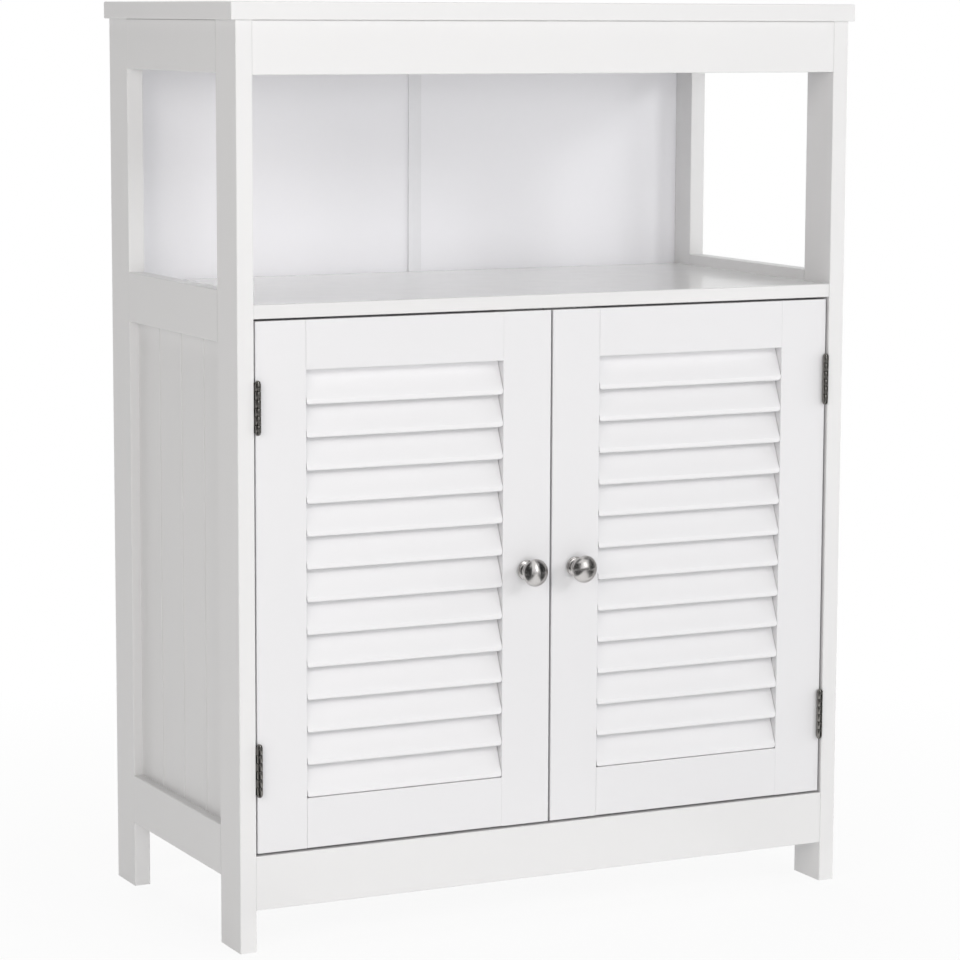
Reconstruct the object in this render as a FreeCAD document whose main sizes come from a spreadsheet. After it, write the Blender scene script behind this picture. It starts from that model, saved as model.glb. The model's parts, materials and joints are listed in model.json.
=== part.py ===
import FreeCAD, Part
import math
import os
import re

import Sketcher
from FreeCAD import Placement, Rotation, Vector

# Louvred door cabinet: two framed sides with grooved panels, an open niche over a counter board, and
# a cupboard behind two louvred doors. X runs to the right, Y to the back, Z up from the floor, and
# the origin is the middle of the whole object's footprint. All lengths are in millimetres.

DRIVING = {
    # Overall, over the top board
    "cabinet_width": 600,
    "cabinet_depth": 300,
    "cabinet_height": 800,
    # Shared by all the wood
    "edge_ease": 1,
    "fit_clearance": 0.1,
    "overrun": 1,
    # Top board
    "top_thickness": 15,
    "top_side_overhang": 5,
    "top_front_overhang": 3,
    # Side frames
    "post_thickness": 15,
    "post_width": 44,
    "side_rail_height": 44,
    "middle_rail_rise": 10,
    "bottom_rail_lift": 59,
    "tenon_length": 12,
    "tenon_thickness": 5,
    "tenon_shoulder": 10,
    # Grooved side panels
    "panel_recess": 8.5,
    "panel_thickness": 6,
    "panel_board_count": 4,
    "panel_clearance": 0.5,
    "rebate_width": 8,
    "groove_width": 3,
    "groove_depth": 1.5,
    # Boards between the side frames
    "apron_height": 45,
    "apron_thickness": 15,
    "apron_set_back": 0.5,
    "counter_top_height": 551,
    "counter_thickness": 12,
    "counter_set_back": 1,
    "plinth_lift": 36,
    "plinth_height": 47,
    "plinth_thickness": 15,
    "plinth_set_back": 0.5,
    "floor_thickness": 12,
    # Dowels
    "dowel_radius": 3,
    "dowel_length": 30,
    "dowel_seat": 10,
    "dowel_inset": 23,
    "dowel_from_edge": 12,
    # Adjustable shelf and its pins
    "shelf_thickness": 12,
    "shelf_set_back": 27,
    "shelf_end_gap": 1.8,
    "shelf_back_gap": 3,
    "shelf_pin_radius": 2.5,
    "shelf_pin_seat": 8,
    "shelf_pin_reach": 8,
    "shelf_pin_inset": 34,
    "shelf_collar_radius": 4,
    "shelf_collar_thickness": 1.2,
    "shelf_hole_count": 3,
    "shelf_hole_pitch": 32,
    # Back panels and their joining strip
    "back_inset": 14.3,
    "back_thickness": 3,
    "back_groove_depth": 6,
    "back_clearance": 0.3,
    "strip_width": 13,
    "strip_wall": 1,
    # Doors
    "door_thickness": 15,
    "door_set_back": 2.3,
    "door_meeting_gap": 2,
    "door_end_gap": 2,
    "door_stile_width": 46,
    "door_top_rail_height": 42,
    "door_bottom_rail_height": 43.5,
    "door_ease": 0.6,
    "door_tenon_length": 14,
    "door_tenon_thickness": 5,
    "door_tenon_shoulder": 8,
    # Louvre slats
    "slat_count": 13,
    "slat_height": 29.3,
    "slat_nose": 4.5,
    "slat_foot": 4,
    "slat_nose_radius": 2,
    "slat_corner_radius": 3,
    "slat_ease": 0.8,
    "slat_end_gap": 0.4,
    "slat_rail_gap": 0.3,
    "slat_tenon_length": 5,
    "slat_tenon_thickness": 3.2,
    "slat_tenon_width": 18,
    # Hinges
    "leaf_length": 42,
    "leaf_width": 12,
    "leaf_thickness": 0.9,
    "leaf_gap": 0.2,
    "leaf_screw_inset": 10,
    "leaf_screw_offset": 6.5,
    "knuckle_count": 6,
    "knuckle_clearance": 0.2,
    "barrel_radius": 2.6,
    "barrel_post_gap": 0.5,
    "barrel_door_gap": 0.3,
    "hinge_pin_radius": 1.2,
    "pin_running_clearance": 0.05,
    "pin_cap_radius": 2.3,
    "pin_cap_height": 2.2,
    "hinge_inset": 72,
    # Countersunk screws
    "screw_head_radius": 2.4,
    "screw_shank_radius": 1.3,
    "screw_length": 11,
    # Knobs
    "knob_projection": 25,
    "knob_head_radius": 12,
    "knob_rim_height": 18,
    "knob_under_radius": 8,
    "knob_neck_radius": 5.2,
    "knob_neck_start": 4.6,
    "knob_neck_end": 10.6,
    "knob_cove_radius": 4,
    "knob_rosette_radius": 8.7,
    "knob_rosette_edge": 1.8,
    "knob_screw_radius": 2,
    "knob_screw_reach": 9,
    "knob_screw_head_radius": 4,
    "knob_screw_head_height": 2.4,
    # Magnetic catches and strike plates
    "catch_width": 28,
    "catch_height": 14,
    "catch_depth": 15,
    "catch_ear_width": 9,
    "catch_ear_thickness": 3,
    "catch_gap": 0.3,
    "catch_ease": 0.8,
    "magnet_width": 20,
    "magnet_height": 6,
    "magnet_depth": 6,
    "strike_width": 24,
    "strike_height": 8,
    "strike_thickness": 1.2,
}

DERIVED = {
    # Planes of the whole cabinet
    "knob_proud": "knob_projection - top_front_overhang - door_set_back",
    "rear_plane": "(cabinet_depth + knob_proud) / 2",
    "front_plane": "rear_plane - cabinet_depth",
    "post_height": "cabinet_height - top_thickness",
    "frame_outer": "top_side_overhang - cabinet_width / 2",
    "frame_inner": "frame_outer + post_thickness",
    "frame_front": "front_plane + top_front_overhang",
    "frame_depth": "cabinet_depth - top_front_overhang",
    "frame_middle": "frame_front + frame_depth / 2",
    "rear_post_front": "rear_plane - post_width",
    "opening_width": "-2 * frame_inner",
    # Side rails and panels
    "rail_length": "frame_depth - 2 * post_width",
    "rail_start": "frame_front + post_width",
    "tenon_side": "(post_thickness - tenon_thickness) / 2",
    "top_rail_lift": "post_height - side_rail_height",
    "middle_rail_lift": "counter_top_height + middle_rail_rise - side_rail_height",
    "panel_lap": "rebate_width - panel_clearance",
    "panel_width": "rail_length + 2 * panel_lap",
    "panel_lift": "bottom_rail_lift + side_rail_height - panel_lap",
    "panel_height": "middle_rail_lift - panel_lift + panel_lap",
    "panel_pitch": "rail_length / panel_board_count",
    "rebate_lift": "panel_lift - panel_clearance",
    "rebate_height": "panel_height + 2 * panel_clearance",
    # Boards between the side frames
    "counter_bottom": "counter_top_height - counter_thickness",
    "plinth_top": "plinth_lift + plinth_height",
    "floor_bottom": "plinth_top - floor_thickness",
    "apron_bottom": "post_height - apron_height",
    "apron_front": "frame_front + apron_set_back",
    "plinth_front": "frame_front + plinth_set_back",
    "counter_front": "frame_front + counter_set_back",
    "floor_front": "plinth_front + plinth_thickness",
    "back_front": "rear_plane - back_inset",
    "board_rear": "back_front - strip_wall - back_clearance",
    "dowel_hole_radius": "dowel_radius + fit_clearance",
    "dowel_hole_seat": "dowel_seat + fit_clearance",
    "dowel_hole_reach": "dowel_length - dowel_seat + fit_clearance",
    "dowel_front": "frame_front + dowel_inset",
    "dowel_rear": "rear_plane - dowel_inset",
    # Shelf
    "shelf_pin_lift": "(plinth_top + counter_bottom) / 2",
    "shelf_pin_front": "frame_front + shelf_pin_inset",
    "shelf_pin_rear": "rear_plane - shelf_pin_inset",
    # Back
    "back_half_width": "opening_width / 2 + back_groove_depth - back_clearance",
    "back_groove_front": "back_front - back_clearance",
    "back_groove_width": "back_thickness + 2 * back_clearance",
    "back_height": "post_height + back_groove_depth - back_clearance - bottom_rail_lift",
    "strip_depth": "back_groove_width + 2 * strip_wall",
    # Doors
    "door_side_gap": "2 * leaf_thickness + leaf_gap",
    "door_left": "frame_inner + door_side_gap",
    "door_width": "-door_left - door_meeting_gap / 2",
    "door_middle": "door_left + door_width / 2",
    "door_front": "frame_front + door_set_back",
    "door_back": "door_front + door_thickness",
    "door_bottom": "plinth_top + door_end_gap",
    "door_top": "counter_bottom - door_end_gap",
    "door_height": "door_top - door_bottom",
    "door_rail_length": "door_width - 2 * door_stile_width",
    "door_rail_start": "door_left + door_stile_width",
    "door_tenon_side": "(door_thickness - door_tenon_thickness) / 2",
    # Louvres
    "louvre_lift": "door_bottom_rail_height + slat_rail_gap",
    "louvre_height": "door_height - door_top_rail_height - door_bottom_rail_height",
    "slat_pitch": "(louvre_height - 2 * slat_rail_gap - slat_height) / (slat_count - 1)",
    "slat_length": "door_rail_length - 2 * slat_end_gap",
    "slat_run": "door_thickness - slat_foot",
    "slat_rise": "slat_height - slat_nose",
    "slat_sine": "slat_run / sqrt(slat_run ^ 2 + slat_rise ^ 2)",
    "slat_cosine": "slat_rise / sqrt(slat_run ^ 2 + slat_rise ^ 2)",
    # Hinges
    "hinge_axis": "frame_inner + barrel_post_gap + barrel_radius",
    "hinge_front": "door_front - barrel_door_gap - barrel_radius",
    "plate_start": "barrel_radius + barrel_door_gap",
    "knuckle_pitch": "leaf_length / knuckle_count",
    "lower_hinge_lift": "door_bottom + hinge_inset - leaf_length / 2",
    "upper_hinge_lift": "door_top - hinge_inset - leaf_length / 2",
    "pin_bore_radius": "hinge_pin_radius + pin_running_clearance",
    "pin_cap_sphere": "(pin_cap_radius ^ 2 + pin_cap_height ^ 2) / (2 * pin_cap_height)",
    "leaf_screw_line": "hinge_front + plate_start + leaf_screw_offset",
    # Knobs
    "knob_across": "-(door_meeting_gap + door_stile_width) / 2",
    "knob_lift": "door_bottom + door_height / 2",
    "knob_dome": "knob_projection - knob_rim_height",
    "knob_dome_sphere": "(knob_head_radius ^ 2 + knob_dome ^ 2) / (2 * knob_dome)",
    # Catches
    "catch_front": "door_back + strike_thickness + catch_gap",
    "catch_bottom": "counter_bottom - catch_height",
    "catch_screw_reach": "(catch_width + catch_ear_width) / 2",
    "strike_lift": "counter_bottom - catch_height / 2",
}

# Two points closer than this are the same corner
SAME_PLACE = 1e-4

# Turns that point an object's own Z axis along a direction
AIMS = {
    "+X": Rotation(Vector(0, 1, 0), 90),
    "-X": Rotation(Vector(0, 1, 0), -90),
    "+Y": Rotation(Vector(1, 0, 0), -90),
    "-Y": Rotation(Vector(1, 0, 0), 90),
    "+Z": Rotation(),
    "-Z": Rotation(Vector(1, 0, 0), 180),
}

doc = FreeCAD.newDocument("louvred_door_cabinet")
sheet = doc.addObject("Spreadsheet::Sheet", "Sizes")
parts = {}


# Sheet, links and places

def write_sheet():
    """Fills the sheet with the driving sizes and the sizes worked out from them."""
    rows = [(name, str(value)) for name, value in DRIVING.items()]
    rows += [(name, "=" + formula) for name, formula in DERIVED.items()]
    for row, (name, text) in enumerate(rows, 1):
        sheet.set(f"A{row}", name)
        sheet.set(f"B{row}", text)
        sheet.setAlias(f"B{row}", name)
    doc.recompute()


def in_sheet(expression):
    """The expression with each plain name pointed at its cell in the sheet."""
    return re.sub(r"\b[a-z][a-z_]+\b(?!\()", r"Sizes.\g<0>", expression)


def value(expression):
    """What an expression in the sheet's names comes to."""
    return float(sheet.evalExpression(in_sheet(expression)))


def bind(item, links):
    """Ties properties of an object to expressions in the sheet's names."""
    for name, expression in links.items():
        item.setExpression(name, in_sheet(expression))


def place(item, x="0", y="0", z="0", aim="+Z"):
    """Points an object's Z axis along the aim and ties its place to the sheet."""
    item.Placement = Placement(Vector(), AIMS[aim])
    bind(item, {"Placement.Base.x": x, "Placement.Base.y": y, "Placement.Base.z": z})
    return item


def keep(label, item):
    """Names a finished sub-part."""
    item.Label = label
    parts[label] = item
    return item


# Sketches

def sketch_on(body, role, offset="0"):
    """A sketch on one of the body's own planes, moved along the plane's normal."""
    sketch = body.newObject("Sketcher::SketchObject", "sketch")
    plane = next(feature for feature in body.Origin.OriginFeatures if feature.Role == role)
    sketch.AttachmentSupport = [(plane, "")]
    sketch.MapMode = "FlatFace"
    bind(sketch, {"AttachmentOffset.Base.z": offset})
    return sketch


def tie_point(sketch, line, end, x, y):
    """Ties one end of a line or arc, or a circle's centre, to two expressions."""
    for kind, axis, expression in (("DistanceX", -2, x), ("DistanceY", -1, y)):
        if expression == "0":
            sketch.addConstraint(Sketcher.Constraint("PointOnObject", line, end, axis))
        else:
            rule = Sketcher.Constraint(kind, -1, 1, line, end, value(expression))
            bind(sketch, {f"Constraints[{sketch.addConstraint(rule)}]": expression})


def arc_between(start, finish, radius):
    """The short arc from start to finish: a radius over zero turns left, one under zero turns right."""
    first, last = (start, finish) if radius > 0 else (finish, start)
    half = (last - first) / 2
    rise = math.sqrt(radius ** 2 - half.Length ** 2) / half.Length
    centre = first + half + Vector(-half.y, half.x, 0) * rise
    angles = [math.atan2(point.y - centre.y, point.x - centre.x) for point in (first, last)]
    return Part.ArcOfCircle(Part.Circle(centre, Vector(0, 0, 1), abs(radius)), *angles)


def outline(sketch, corners):
    """A closed outline through corners of two expressions; a third is the radius of the arc after it."""
    spots = [Vector(value(corner[0]), value(corner[1]), 0) for corner in corners]
    ends = []
    for number, corner in enumerate(corners):
        start, finish = spots[number], spots[(number + 1) % len(corners)]
        if len(corner) == 2:
            line = sketch.addGeometry(Part.LineSegment(start, finish), False)
            ends.append((line, 1, 2))
        else:
            radius = value(corner[2])
            line = sketch.addGeometry(arc_between(start, finish, radius), False)
            ends.append((line, 1, 2) if radius > 0 else (line, 2, 1))
    for number, (line, first, last) in enumerate(ends):
        follower = ends[(number + 1) % len(ends)]
        sketch.addConstraint(Sketcher.Constraint("Coincident", line, last, follower[0], follower[1]))
        tie_point(sketch, line, first, corners[number][0], corners[number][1])
    for number, (line, first, last) in enumerate(ends):
        if len(corners[number]) == 3:
            rule = sketch.addConstraint(Sketcher.Constraint("Radius", line, abs(value(corners[number][2]))))
            bind(sketch, {f"Constraints[{rule}]": corners[number][2].lstrip("-")})
    return sketch


def rectangle(sketch, left, low, right, high):
    """A rectangle between two opposite corners."""
    return outline(sketch, [(left, low), (right, low), (right, high), (left, high)])


def circle(sketch, radius):
    """A circle round the sketch's origin."""
    ring = sketch.addGeometry(Part.Circle(Vector(), Vector(0, 0, 1), value(radius)), False)
    tie_point(sketch, ring, 3, "0", "0")
    rule = sketch.addConstraint(Sketcher.Constraint("Radius", ring, value(radius)))
    bind(sketch, {f"Constraints[{rule}]": radius})
    return sketch


# Features

def new_body(name):
    """An empty body."""
    return doc.addObject("PartDesign::Body", name)


def pad(body, sketch, length, behind=None, reverse=False):
    """Raises a sketch along its normal, and behind it too where a second length is given."""
    feature = body.newObject("PartDesign::Pad", "pad")
    feature.Profile = sketch
    feature.Reversed = reverse
    bind(feature, {"Length": length})
    if behind:
        feature.SideType = "Two sides"
        bind(feature, {"Length2": behind})
    doc.recompute()
    return feature


def pocket(body, sketch, depth, reverse=False):
    """Sinks a sketch into the body and makes sure that it cut something."""
    before = body.Shape.Volume
    feature = body.newObject("PartDesign::Pocket", "pocket")
    feature.Profile = sketch
    feature.Reversed = reverse
    bind(feature, {"Length": depth})
    doc.recompute()
    if not body.Shape.Volume < before:
        raise RuntimeError(f"{body.Label}: a pocket cut nothing")
    return feature


def pattern(body, features, role, count, pitch):
    """Repeats features along one of the body's axes."""
    row = body.newObject("PartDesign::LinearPattern", "row")
    row.Originals = features
    row.Direction = (next(axis for axis in body.Origin.OriginFeatures if axis.Role == role), [""])
    row.Mode = "Spacing"
    bind(row, {"Occurrences": count, "Offset": pitch})
    body.Tip = row
    doc.recompute()
    return row


def edges_along(shape, axis, spots=None):
    """Names of the straight edges along an axis, at the corners of the shape's box or at given spots."""
    box = shape.BoundBox
    low = (box.XMin, box.YMin, box.ZMin)
    high = (box.XMax, box.YMax, box.ZMax)
    across = [number for number in range(3) if number != axis]
    if spots is None:
        spots = [(a, b) for a in (low[across[0]], high[across[0]]) for b in (low[across[1]], high[across[1]])]
    names = []
    for number, edge in enumerate(shape.Edges, 1):
        ends = [edge.Vertexes[0].Point, edge.Vertexes[-1].Point]
        for spot in spots:
            gaps = [abs(end[side] - place) for end in ends for side, place in zip(across, spot)]
            if max(gaps) < SAME_PLACE:
                names.append(f"Edge{number}")
    return names


def ease(body, feature, radius, axes, spots=None):
    """Rounds the edges of a feature that run along the given axes."""
    names = [name for axis in axes for name in edges_along(feature.Shape, "XYZ".index(axis), spots)]
    rounding = body.newObject("PartDesign::Fillet", "ease")
    rounding.Base = (feature, names)
    bind(rounding, {"Radius": radius})
    doc.recompute()
    return rounding


def turned(name, corners):
    """A body turned about Z from an outline of radius and height."""
    body = new_body(name)
    feature = body.newObject("PartDesign::Revolution", "turning")
    feature.Profile = outline(sketch_on(body, "XZ_Plane"), corners)
    feature.ReferenceAxis = (feature.Profile[0], ["V_Axis"])
    feature.Angle = 360
    doc.recompute()
    return body


def board(name, length, depth, thickness, eased_axes=""):
    """A flat board from its own corner, with the edges along the given axes eased."""
    body = new_body(name)
    stock = pad(body, rectangle(sketch_on(body, "XY_Plane"), "0", "0", length, depth), thickness)
    if eased_axes:
        ease(body, stock, "edge_ease", eased_axes)
    return body


def block(name, length, depth, height):
    """A plain square-edged block from its own corner."""
    item = doc.addObject("Part::Box", name)
    bind(item, {"Length": length, "Width": depth, "Height": height})
    return item


def drill(aim, x, y, z, radius, depth):
    """A round cutter that enters at a point along the aim, begun a little outside the wood."""
    cutter = doc.addObject("Part::Cylinder", "cutter")
    bind(cutter, {"Radius": radius, "Height": f"{depth} + overrun"})
    mouth = {"X": x, "Y": y, "Z": z}
    mouth[aim[1]] += " - overrun" if aim[0] == "+" else " + overrun"
    return place(cutter, mouth["X"], mouth["Y"], mouth["Z"], aim)


def copies(source, aim, spots):
    """Linked copies of a body, one at each spot."""
    links = []
    for x, y, z in spots:
        link = doc.addObject("App::Link", source.Name + "_copy")
        link.LinkedObject = source
        links.append(place(link, x, y, z, aim))
    return links


def group(name, items):
    """Several solids kept as one object."""
    bunch = doc.addObject("Part::Compound", name)
    bunch.Links = items
    return bunch


def cut(name, base, cutters):
    """A piece less its cutters, which don't cross each other."""
    result = doc.addObject("Part::Cut", name)
    result.Base = base
    result.Tool = group(name + "_cutters", cutters)
    doc.recompute()
    if not result.Shape.Volume < base.Shape.Volume:
        raise RuntimeError(f"{name}: its cutters cut nothing")
    return result


def mirrored(name, source, side="x", plane="0"):
    """A copy mirrored across a plane square to X or Y."""
    item = doc.addObject("Part::Mirroring", name)
    item.Source = source
    item.Normal = Vector(1, 0, 0) if side == "x" else Vector(0, 1, 0)
    bind(item, {f"Base.{side}": plane})
    return item


def both_sides(name, left):
    """Keeps a left-hand piece and its right-hand twin."""
    keep("left_" + name, left)
    keep("right_" + name, mirrored("right_" + name, left))


# Small fasteners, which the pieces below are drilled for

def make_screws():
    """The countersunk screw, and the hole that takes it, both sunk along Z from the head's face."""
    screw = turned("screw", [
        ("0", "0"),
        ("0", "-screw_length"),
        ("screw_shank_radius", "screw_shank_radius - screw_length"),
        ("screw_shank_radius", "screw_shank_radius - screw_head_radius"),
        ("screw_head_radius", "0"),
    ])
    hole = turned("screw_hole", [
        ("0", "0"),
        ("0", "-screw_length - fit_clearance"),
        ("screw_shank_radius + fit_clearance", "-screw_length - fit_clearance"),
        ("screw_shank_radius + fit_clearance", "screw_shank_radius - screw_head_radius"),
        ("screw_head_radius + fit_clearance", "0"),
    ])
    return screw, hole


def dowel_spots():
    """Where the dowels of the left side start, by the board that they hold, each with its aim."""
    start = "frame_inner - dowel_seat"
    ends = {
        "counter_board": [("dowel_front", "counter_bottom + counter_thickness / 2"),
                          ("dowel_rear", "counter_bottom + counter_thickness / 2")],
        "floor_board": [("dowel_front", "floor_bottom + floor_thickness / 2"),
                        ("dowel_rear", "floor_bottom + floor_thickness / 2")],
        "top_apron": [("apron_front + apron_thickness / 2", "apron_bottom + dowel_from_edge"),
                      ("apron_front + apron_thickness / 2", "post_height - dowel_from_edge")],
        "plinth_board": [("plinth_front + plinth_thickness / 2", "plinth_lift + dowel_from_edge"),
                         ("plinth_front + plinth_thickness / 2", "plinth_top - dowel_from_edge")],
    }
    spots = {name: [(start, y, z) for y, z in places] for name, places in ends.items()}
    across = "frame_outer + post_thickness / 2"
    above = "post_height + dowel_seat - dowel_length"
    spots["top_board"] = [(across, "dowel_front", above), (across, "dowel_rear", above)]
    return spots


def make_dowels(spots):
    """Beech dowels: level ones into the ends of the boards, and upright ones from the posts to the top."""
    dowel = doc.addObject("Part::Cylinder", "dowel")
    bind(dowel, {"Radius": "dowel_radius", "Height": "dowel_length"})
    level = [spot for name in spots if name != "top_board" for spot in spots[name]]
    left = copies(dowel, "+X", level) + copies(dowel, "+Z", spots["top_board"])
    right = mirrored("right_dowels", group("left_dowels", left))
    keep("dowels", group("dowels", left + [right]))


# Side frames

def make_post():
    """Upright with eased edges, three mortises for the rails and a stopped rebate for the panel."""
    body = new_body("post")
    section = rectangle(sketch_on(body, "XY_Plane"), "0", "0", "post_thickness", "post_width")
    stock = pad(body, section, "post_height")
    ease(body, stock, "edge_ease", "Z")
    for lift in ("bottom_rail_lift", "middle_rail_lift", "top_rail_lift"):
        mouth = rectangle(
            sketch_on(body, "XZ_Plane", "-post_width"),
            "tenon_side - fit_clearance",
            f"{lift} + tenon_shoulder - fit_clearance",
            "post_thickness - tenon_side + fit_clearance",
            f"{lift} + side_rail_height - tenon_shoulder + fit_clearance",
        )
        pocket(body, mouth, "tenon_length + fit_clearance", reverse=True)
    corner = rectangle(
        sketch_on(body, "XY_Plane", "rebate_lift"),
        "panel_recess", "post_width - rebate_width", "post_thickness", "post_width",
    )
    pocket(body, corner, "rebate_height", reverse=True)
    return place(body, "frame_outer", "frame_front")


def make_posts(spots, screw_hole):
    """Front and rear posts of both sides, drilled and grooved for what they carry."""
    post = make_post()
    rear = mirrored("rear_post", post, "y", "frame_middle")
    level = [spot for name in spots if name != "top_board" for spot in spots[name]]
    holes = {"front": [], "rear": []}
    for x, y, z in level:
        end = "rear" if y == "dowel_rear" else "front"
        holes[end].append(drill("-X", "frame_inner", y, z, "dowel_hole_radius", "dowel_hole_seat"))
    for end in ("front", "rear"):
        x = "frame_outer + post_thickness / 2"
        holes[end].append(
            drill("-Z", x, "dowel_" + end, "post_height", "dowel_hole_radius", "dowel_hole_reach"))
        for step in range(int(value("shelf_hole_count"))):
            lift = f"shelf_pin_lift + ({step} - (shelf_hole_count - 1) / 2) * shelf_hole_pitch"
            holes[end].append(drill("-X", "frame_inner", "shelf_pin_" + end, lift,
                                    "shelf_pin_radius + fit_clearance", "shelf_pin_seat + fit_clearance"))
    holes["front"] += copies(screw_hole, "+X", frame_screw_spots())
    groove = block("back_groove", "back_groove_depth + overrun", "back_groove_width",
                   "post_height - bottom_rail_lift + back_clearance + overrun")
    holes["rear"].append(place(groove, "frame_inner - back_groove_depth", "back_groove_front",
                               "bottom_rail_lift - back_clearance"))
    both_sides("front_post", cut("left_front_post", post, holes["front"]))
    both_sides("rear_post", cut("left_rear_post", rear, holes["rear"]))


def make_rail(name, corners, lift):
    """Side rail from its section, eased along its length, with a tenon on each end."""
    body = new_body(name)
    stock = pad(body, outline(sketch_on(body, "XZ_Plane"), corners), "rail_length", reverse=True)
    ease(body, stock, "edge_ease", "Y")
    tenon = rectangle(sketch_on(body, "XZ_Plane"), "tenon_side", "tenon_shoulder",
                      "post_thickness - tenon_side", "side_rail_height - tenon_shoulder")
    pad(body, tenon, "rail_length + tenon_length", behind="tenon_length", reverse=True)
    both_sides(name, place(body, "frame_outer", "rail_start", lift))


def make_rails():
    """Top, middle and bottom rails; the lower two are rebated along the edge that faces the panel."""
    square = [("0", "0"), ("post_thickness", "0"),
              ("post_thickness", "side_rail_height"), ("0", "side_rail_height")]
    step_below = [("0", "0"), ("panel_recess", "0"), ("panel_recess", "rebate_width"),
                  ("post_thickness", "rebate_width"),
                  ("post_thickness", "side_rail_height"), ("0", "side_rail_height")]
    step_above = [("0", "0"), ("post_thickness", "0"),
                  ("post_thickness", "side_rail_height - rebate_width"),
                  ("panel_recess", "side_rail_height - rebate_width"),
                  ("panel_recess", "side_rail_height"), ("0", "side_rail_height")]
    make_rail("top_rail", square, "top_rail_lift")
    make_rail("middle_rail", step_below, "middle_rail_lift")
    make_rail("bottom_rail", step_above, "bottom_rail_lift")


def make_side_panel():
    """Side panel with upright V grooves that mark it into boards, let into the frame from inside."""
    body = new_body("side_panel")
    face = rectangle(sketch_on(body, "XY_Plane"), "0", "0", "panel_thickness", "panel_width")
    pad(body, face, "panel_height")
    vee = outline(sketch_on(body, "XY_Plane"), [
        ("0", "panel_lap + panel_pitch - groove_width / 2"),
        ("groove_depth", "panel_lap + panel_pitch"),
        ("0", "panel_lap + panel_pitch + groove_width / 2"),
    ])
    groove = pocket(body, vee, "panel_height", reverse=True)
    pattern(body, [groove], "Y_Axis", "panel_board_count - 1", "panel_pitch")
    place(body, "frame_outer + panel_recess", "rail_start - panel_lap", "panel_lift")
    both_sides("side_panel", body)


# Boards between the side frames

def end_holes(spots):
    """Cutters for the dowels in both ends of a board."""
    left = [drill("+X", "frame_inner", y, z, "dowel_hole_radius", "dowel_hole_reach") for x, y, z in spots]
    right = [drill("-X", "-frame_inner", y, z, "dowel_hole_radius", "dowel_hole_reach") for x, y, z in spots]
    return left + right


def make_boards(spots, screw_hole):
    """Apron, counter, plinth and floor boards, all held between the frames by dowels."""
    apron = board("apron", "opening_width", "apron_thickness", "apron_height", "X")
    place(apron, "frame_inner", "apron_front", "apron_bottom")
    plinth = board("plinth", "opening_width", "plinth_thickness", "plinth_height", "X")
    place(plinth, "frame_inner", "plinth_front", "plinth_lift")
    counter = board("counter", "opening_width", "board_rear - counter_front", "counter_thickness", "X")
    place(counter, "frame_inner", "counter_front", "counter_bottom")
    floor = board("floor", "opening_width", "board_rear - floor_front", "floor_thickness")
    place(floor, "frame_inner", "floor_front", "floor_bottom")
    for name, blank in (("top_apron", apron), ("plinth_board", plinth), ("floor_board", floor)):
        keep(name, cut(name, blank, end_holes(spots[name])))
    catch_holes = copies(screw_hole, "-Z", catch_screw_spots())
    right_catch_holes = mirrored("right_catch_holes", group("left_catch_holes", catch_holes))
    holes = end_holes(spots["counter_board"]) + catch_holes + [right_catch_holes]
    keep("counter_board", cut("counter_board", counter, holes))


def make_top(spots):
    """Top board, eased all round, with dowel holes and a groove for the back below."""
    blank = board("top", "cabinet_width", "cabinet_depth", "top_thickness", "XYZ")
    place(blank, "-cabinet_width / 2", "front_plane", "post_height")
    holes = []
    for x, y, z in spots["top_board"]:
        for side in (x, f"-({x})"):
            holes.append(drill("+Z", side, y, "post_height", "dowel_hole_radius", "dowel_hole_seat"))
    half_groove = "back_half_width + back_clearance"
    groove = block("top_groove", f"2 * ({half_groove})", "back_groove_width", "back_groove_depth + overrun")
    place(groove, f"-({half_groove})", "back_groove_front", "post_height - overrun")
    keep("top_board", cut("top_board", blank, holes + [groove]))


def make_shelf():
    """Loose shelf on four collared pins that fit any level of the posts' rows of holes."""
    width = "opening_width - 2 * shelf_end_gap"
    depth = "board_rear - shelf_back_gap - frame_front - shelf_set_back"
    shelf = board("shelf", width, depth, "shelf_thickness", "X")
    place(shelf, "frame_inner + shelf_end_gap", "frame_front + shelf_set_back",
          "shelf_pin_lift + shelf_pin_radius")
    keep("adjustable_shelf", shelf)
    pin = turned("shelf_pin", [
        ("0", "-shelf_pin_seat"),
        ("shelf_pin_radius", "-shelf_pin_seat"),
        ("shelf_pin_radius", "0"),
        ("shelf_collar_radius", "0"),
        ("shelf_collar_radius", "shelf_collar_thickness"),
        ("shelf_pin_radius", "shelf_collar_thickness"),
        ("shelf_pin_radius", "shelf_pin_reach"),
        ("0", "shelf_pin_reach"),
    ])
    lines = ("shelf_pin_front", "shelf_pin_rear")
    left = copies(pin, "+X", [("frame_inner", y, "shelf_pin_lift") for y in lines])
    right = copies(pin, "-X", [("-frame_inner", y, "shelf_pin_lift") for y in lines])
    keep("shelf_pins", group("shelf_pins", left + right))


def make_back():
    """Two thin back panels in grooves, joined down the middle by a strip with an H section."""
    half = "back_half_width - strip_wall / 2 - back_clearance"
    panel = block("back_panel", half, "back_thickness", "back_height")
    both_sides("back_panel", place(panel, "-back_half_width", "back_front", "bottom_rail_lift"))
    strip = new_body("strip")
    wide = "strip_width / 2"
    web = "strip_wall / 2"
    inner = "strip_depth - strip_wall"
    section = outline(sketch_on(strip, "XY_Plane"), [
        (f"-{wide}", "0"), (wide, "0"), (wide, "strip_wall"), (web, "strip_wall"),
        (web, inner), (wide, inner), (wide, "strip_depth"), (f"-{wide}", "strip_depth"),
        (f"-{wide}", inner), (f"-{web}", inner), (f"-{web}", "strip_wall"), (f"-{wide}", "strip_wall"),
    ])
    pad(strip, section, "post_height - bottom_rail_lift")
    keep("back_joining_strip", place(strip, "0", "back_groove_front - strip_wall", "bottom_rail_lift"))


# Doors

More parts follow.
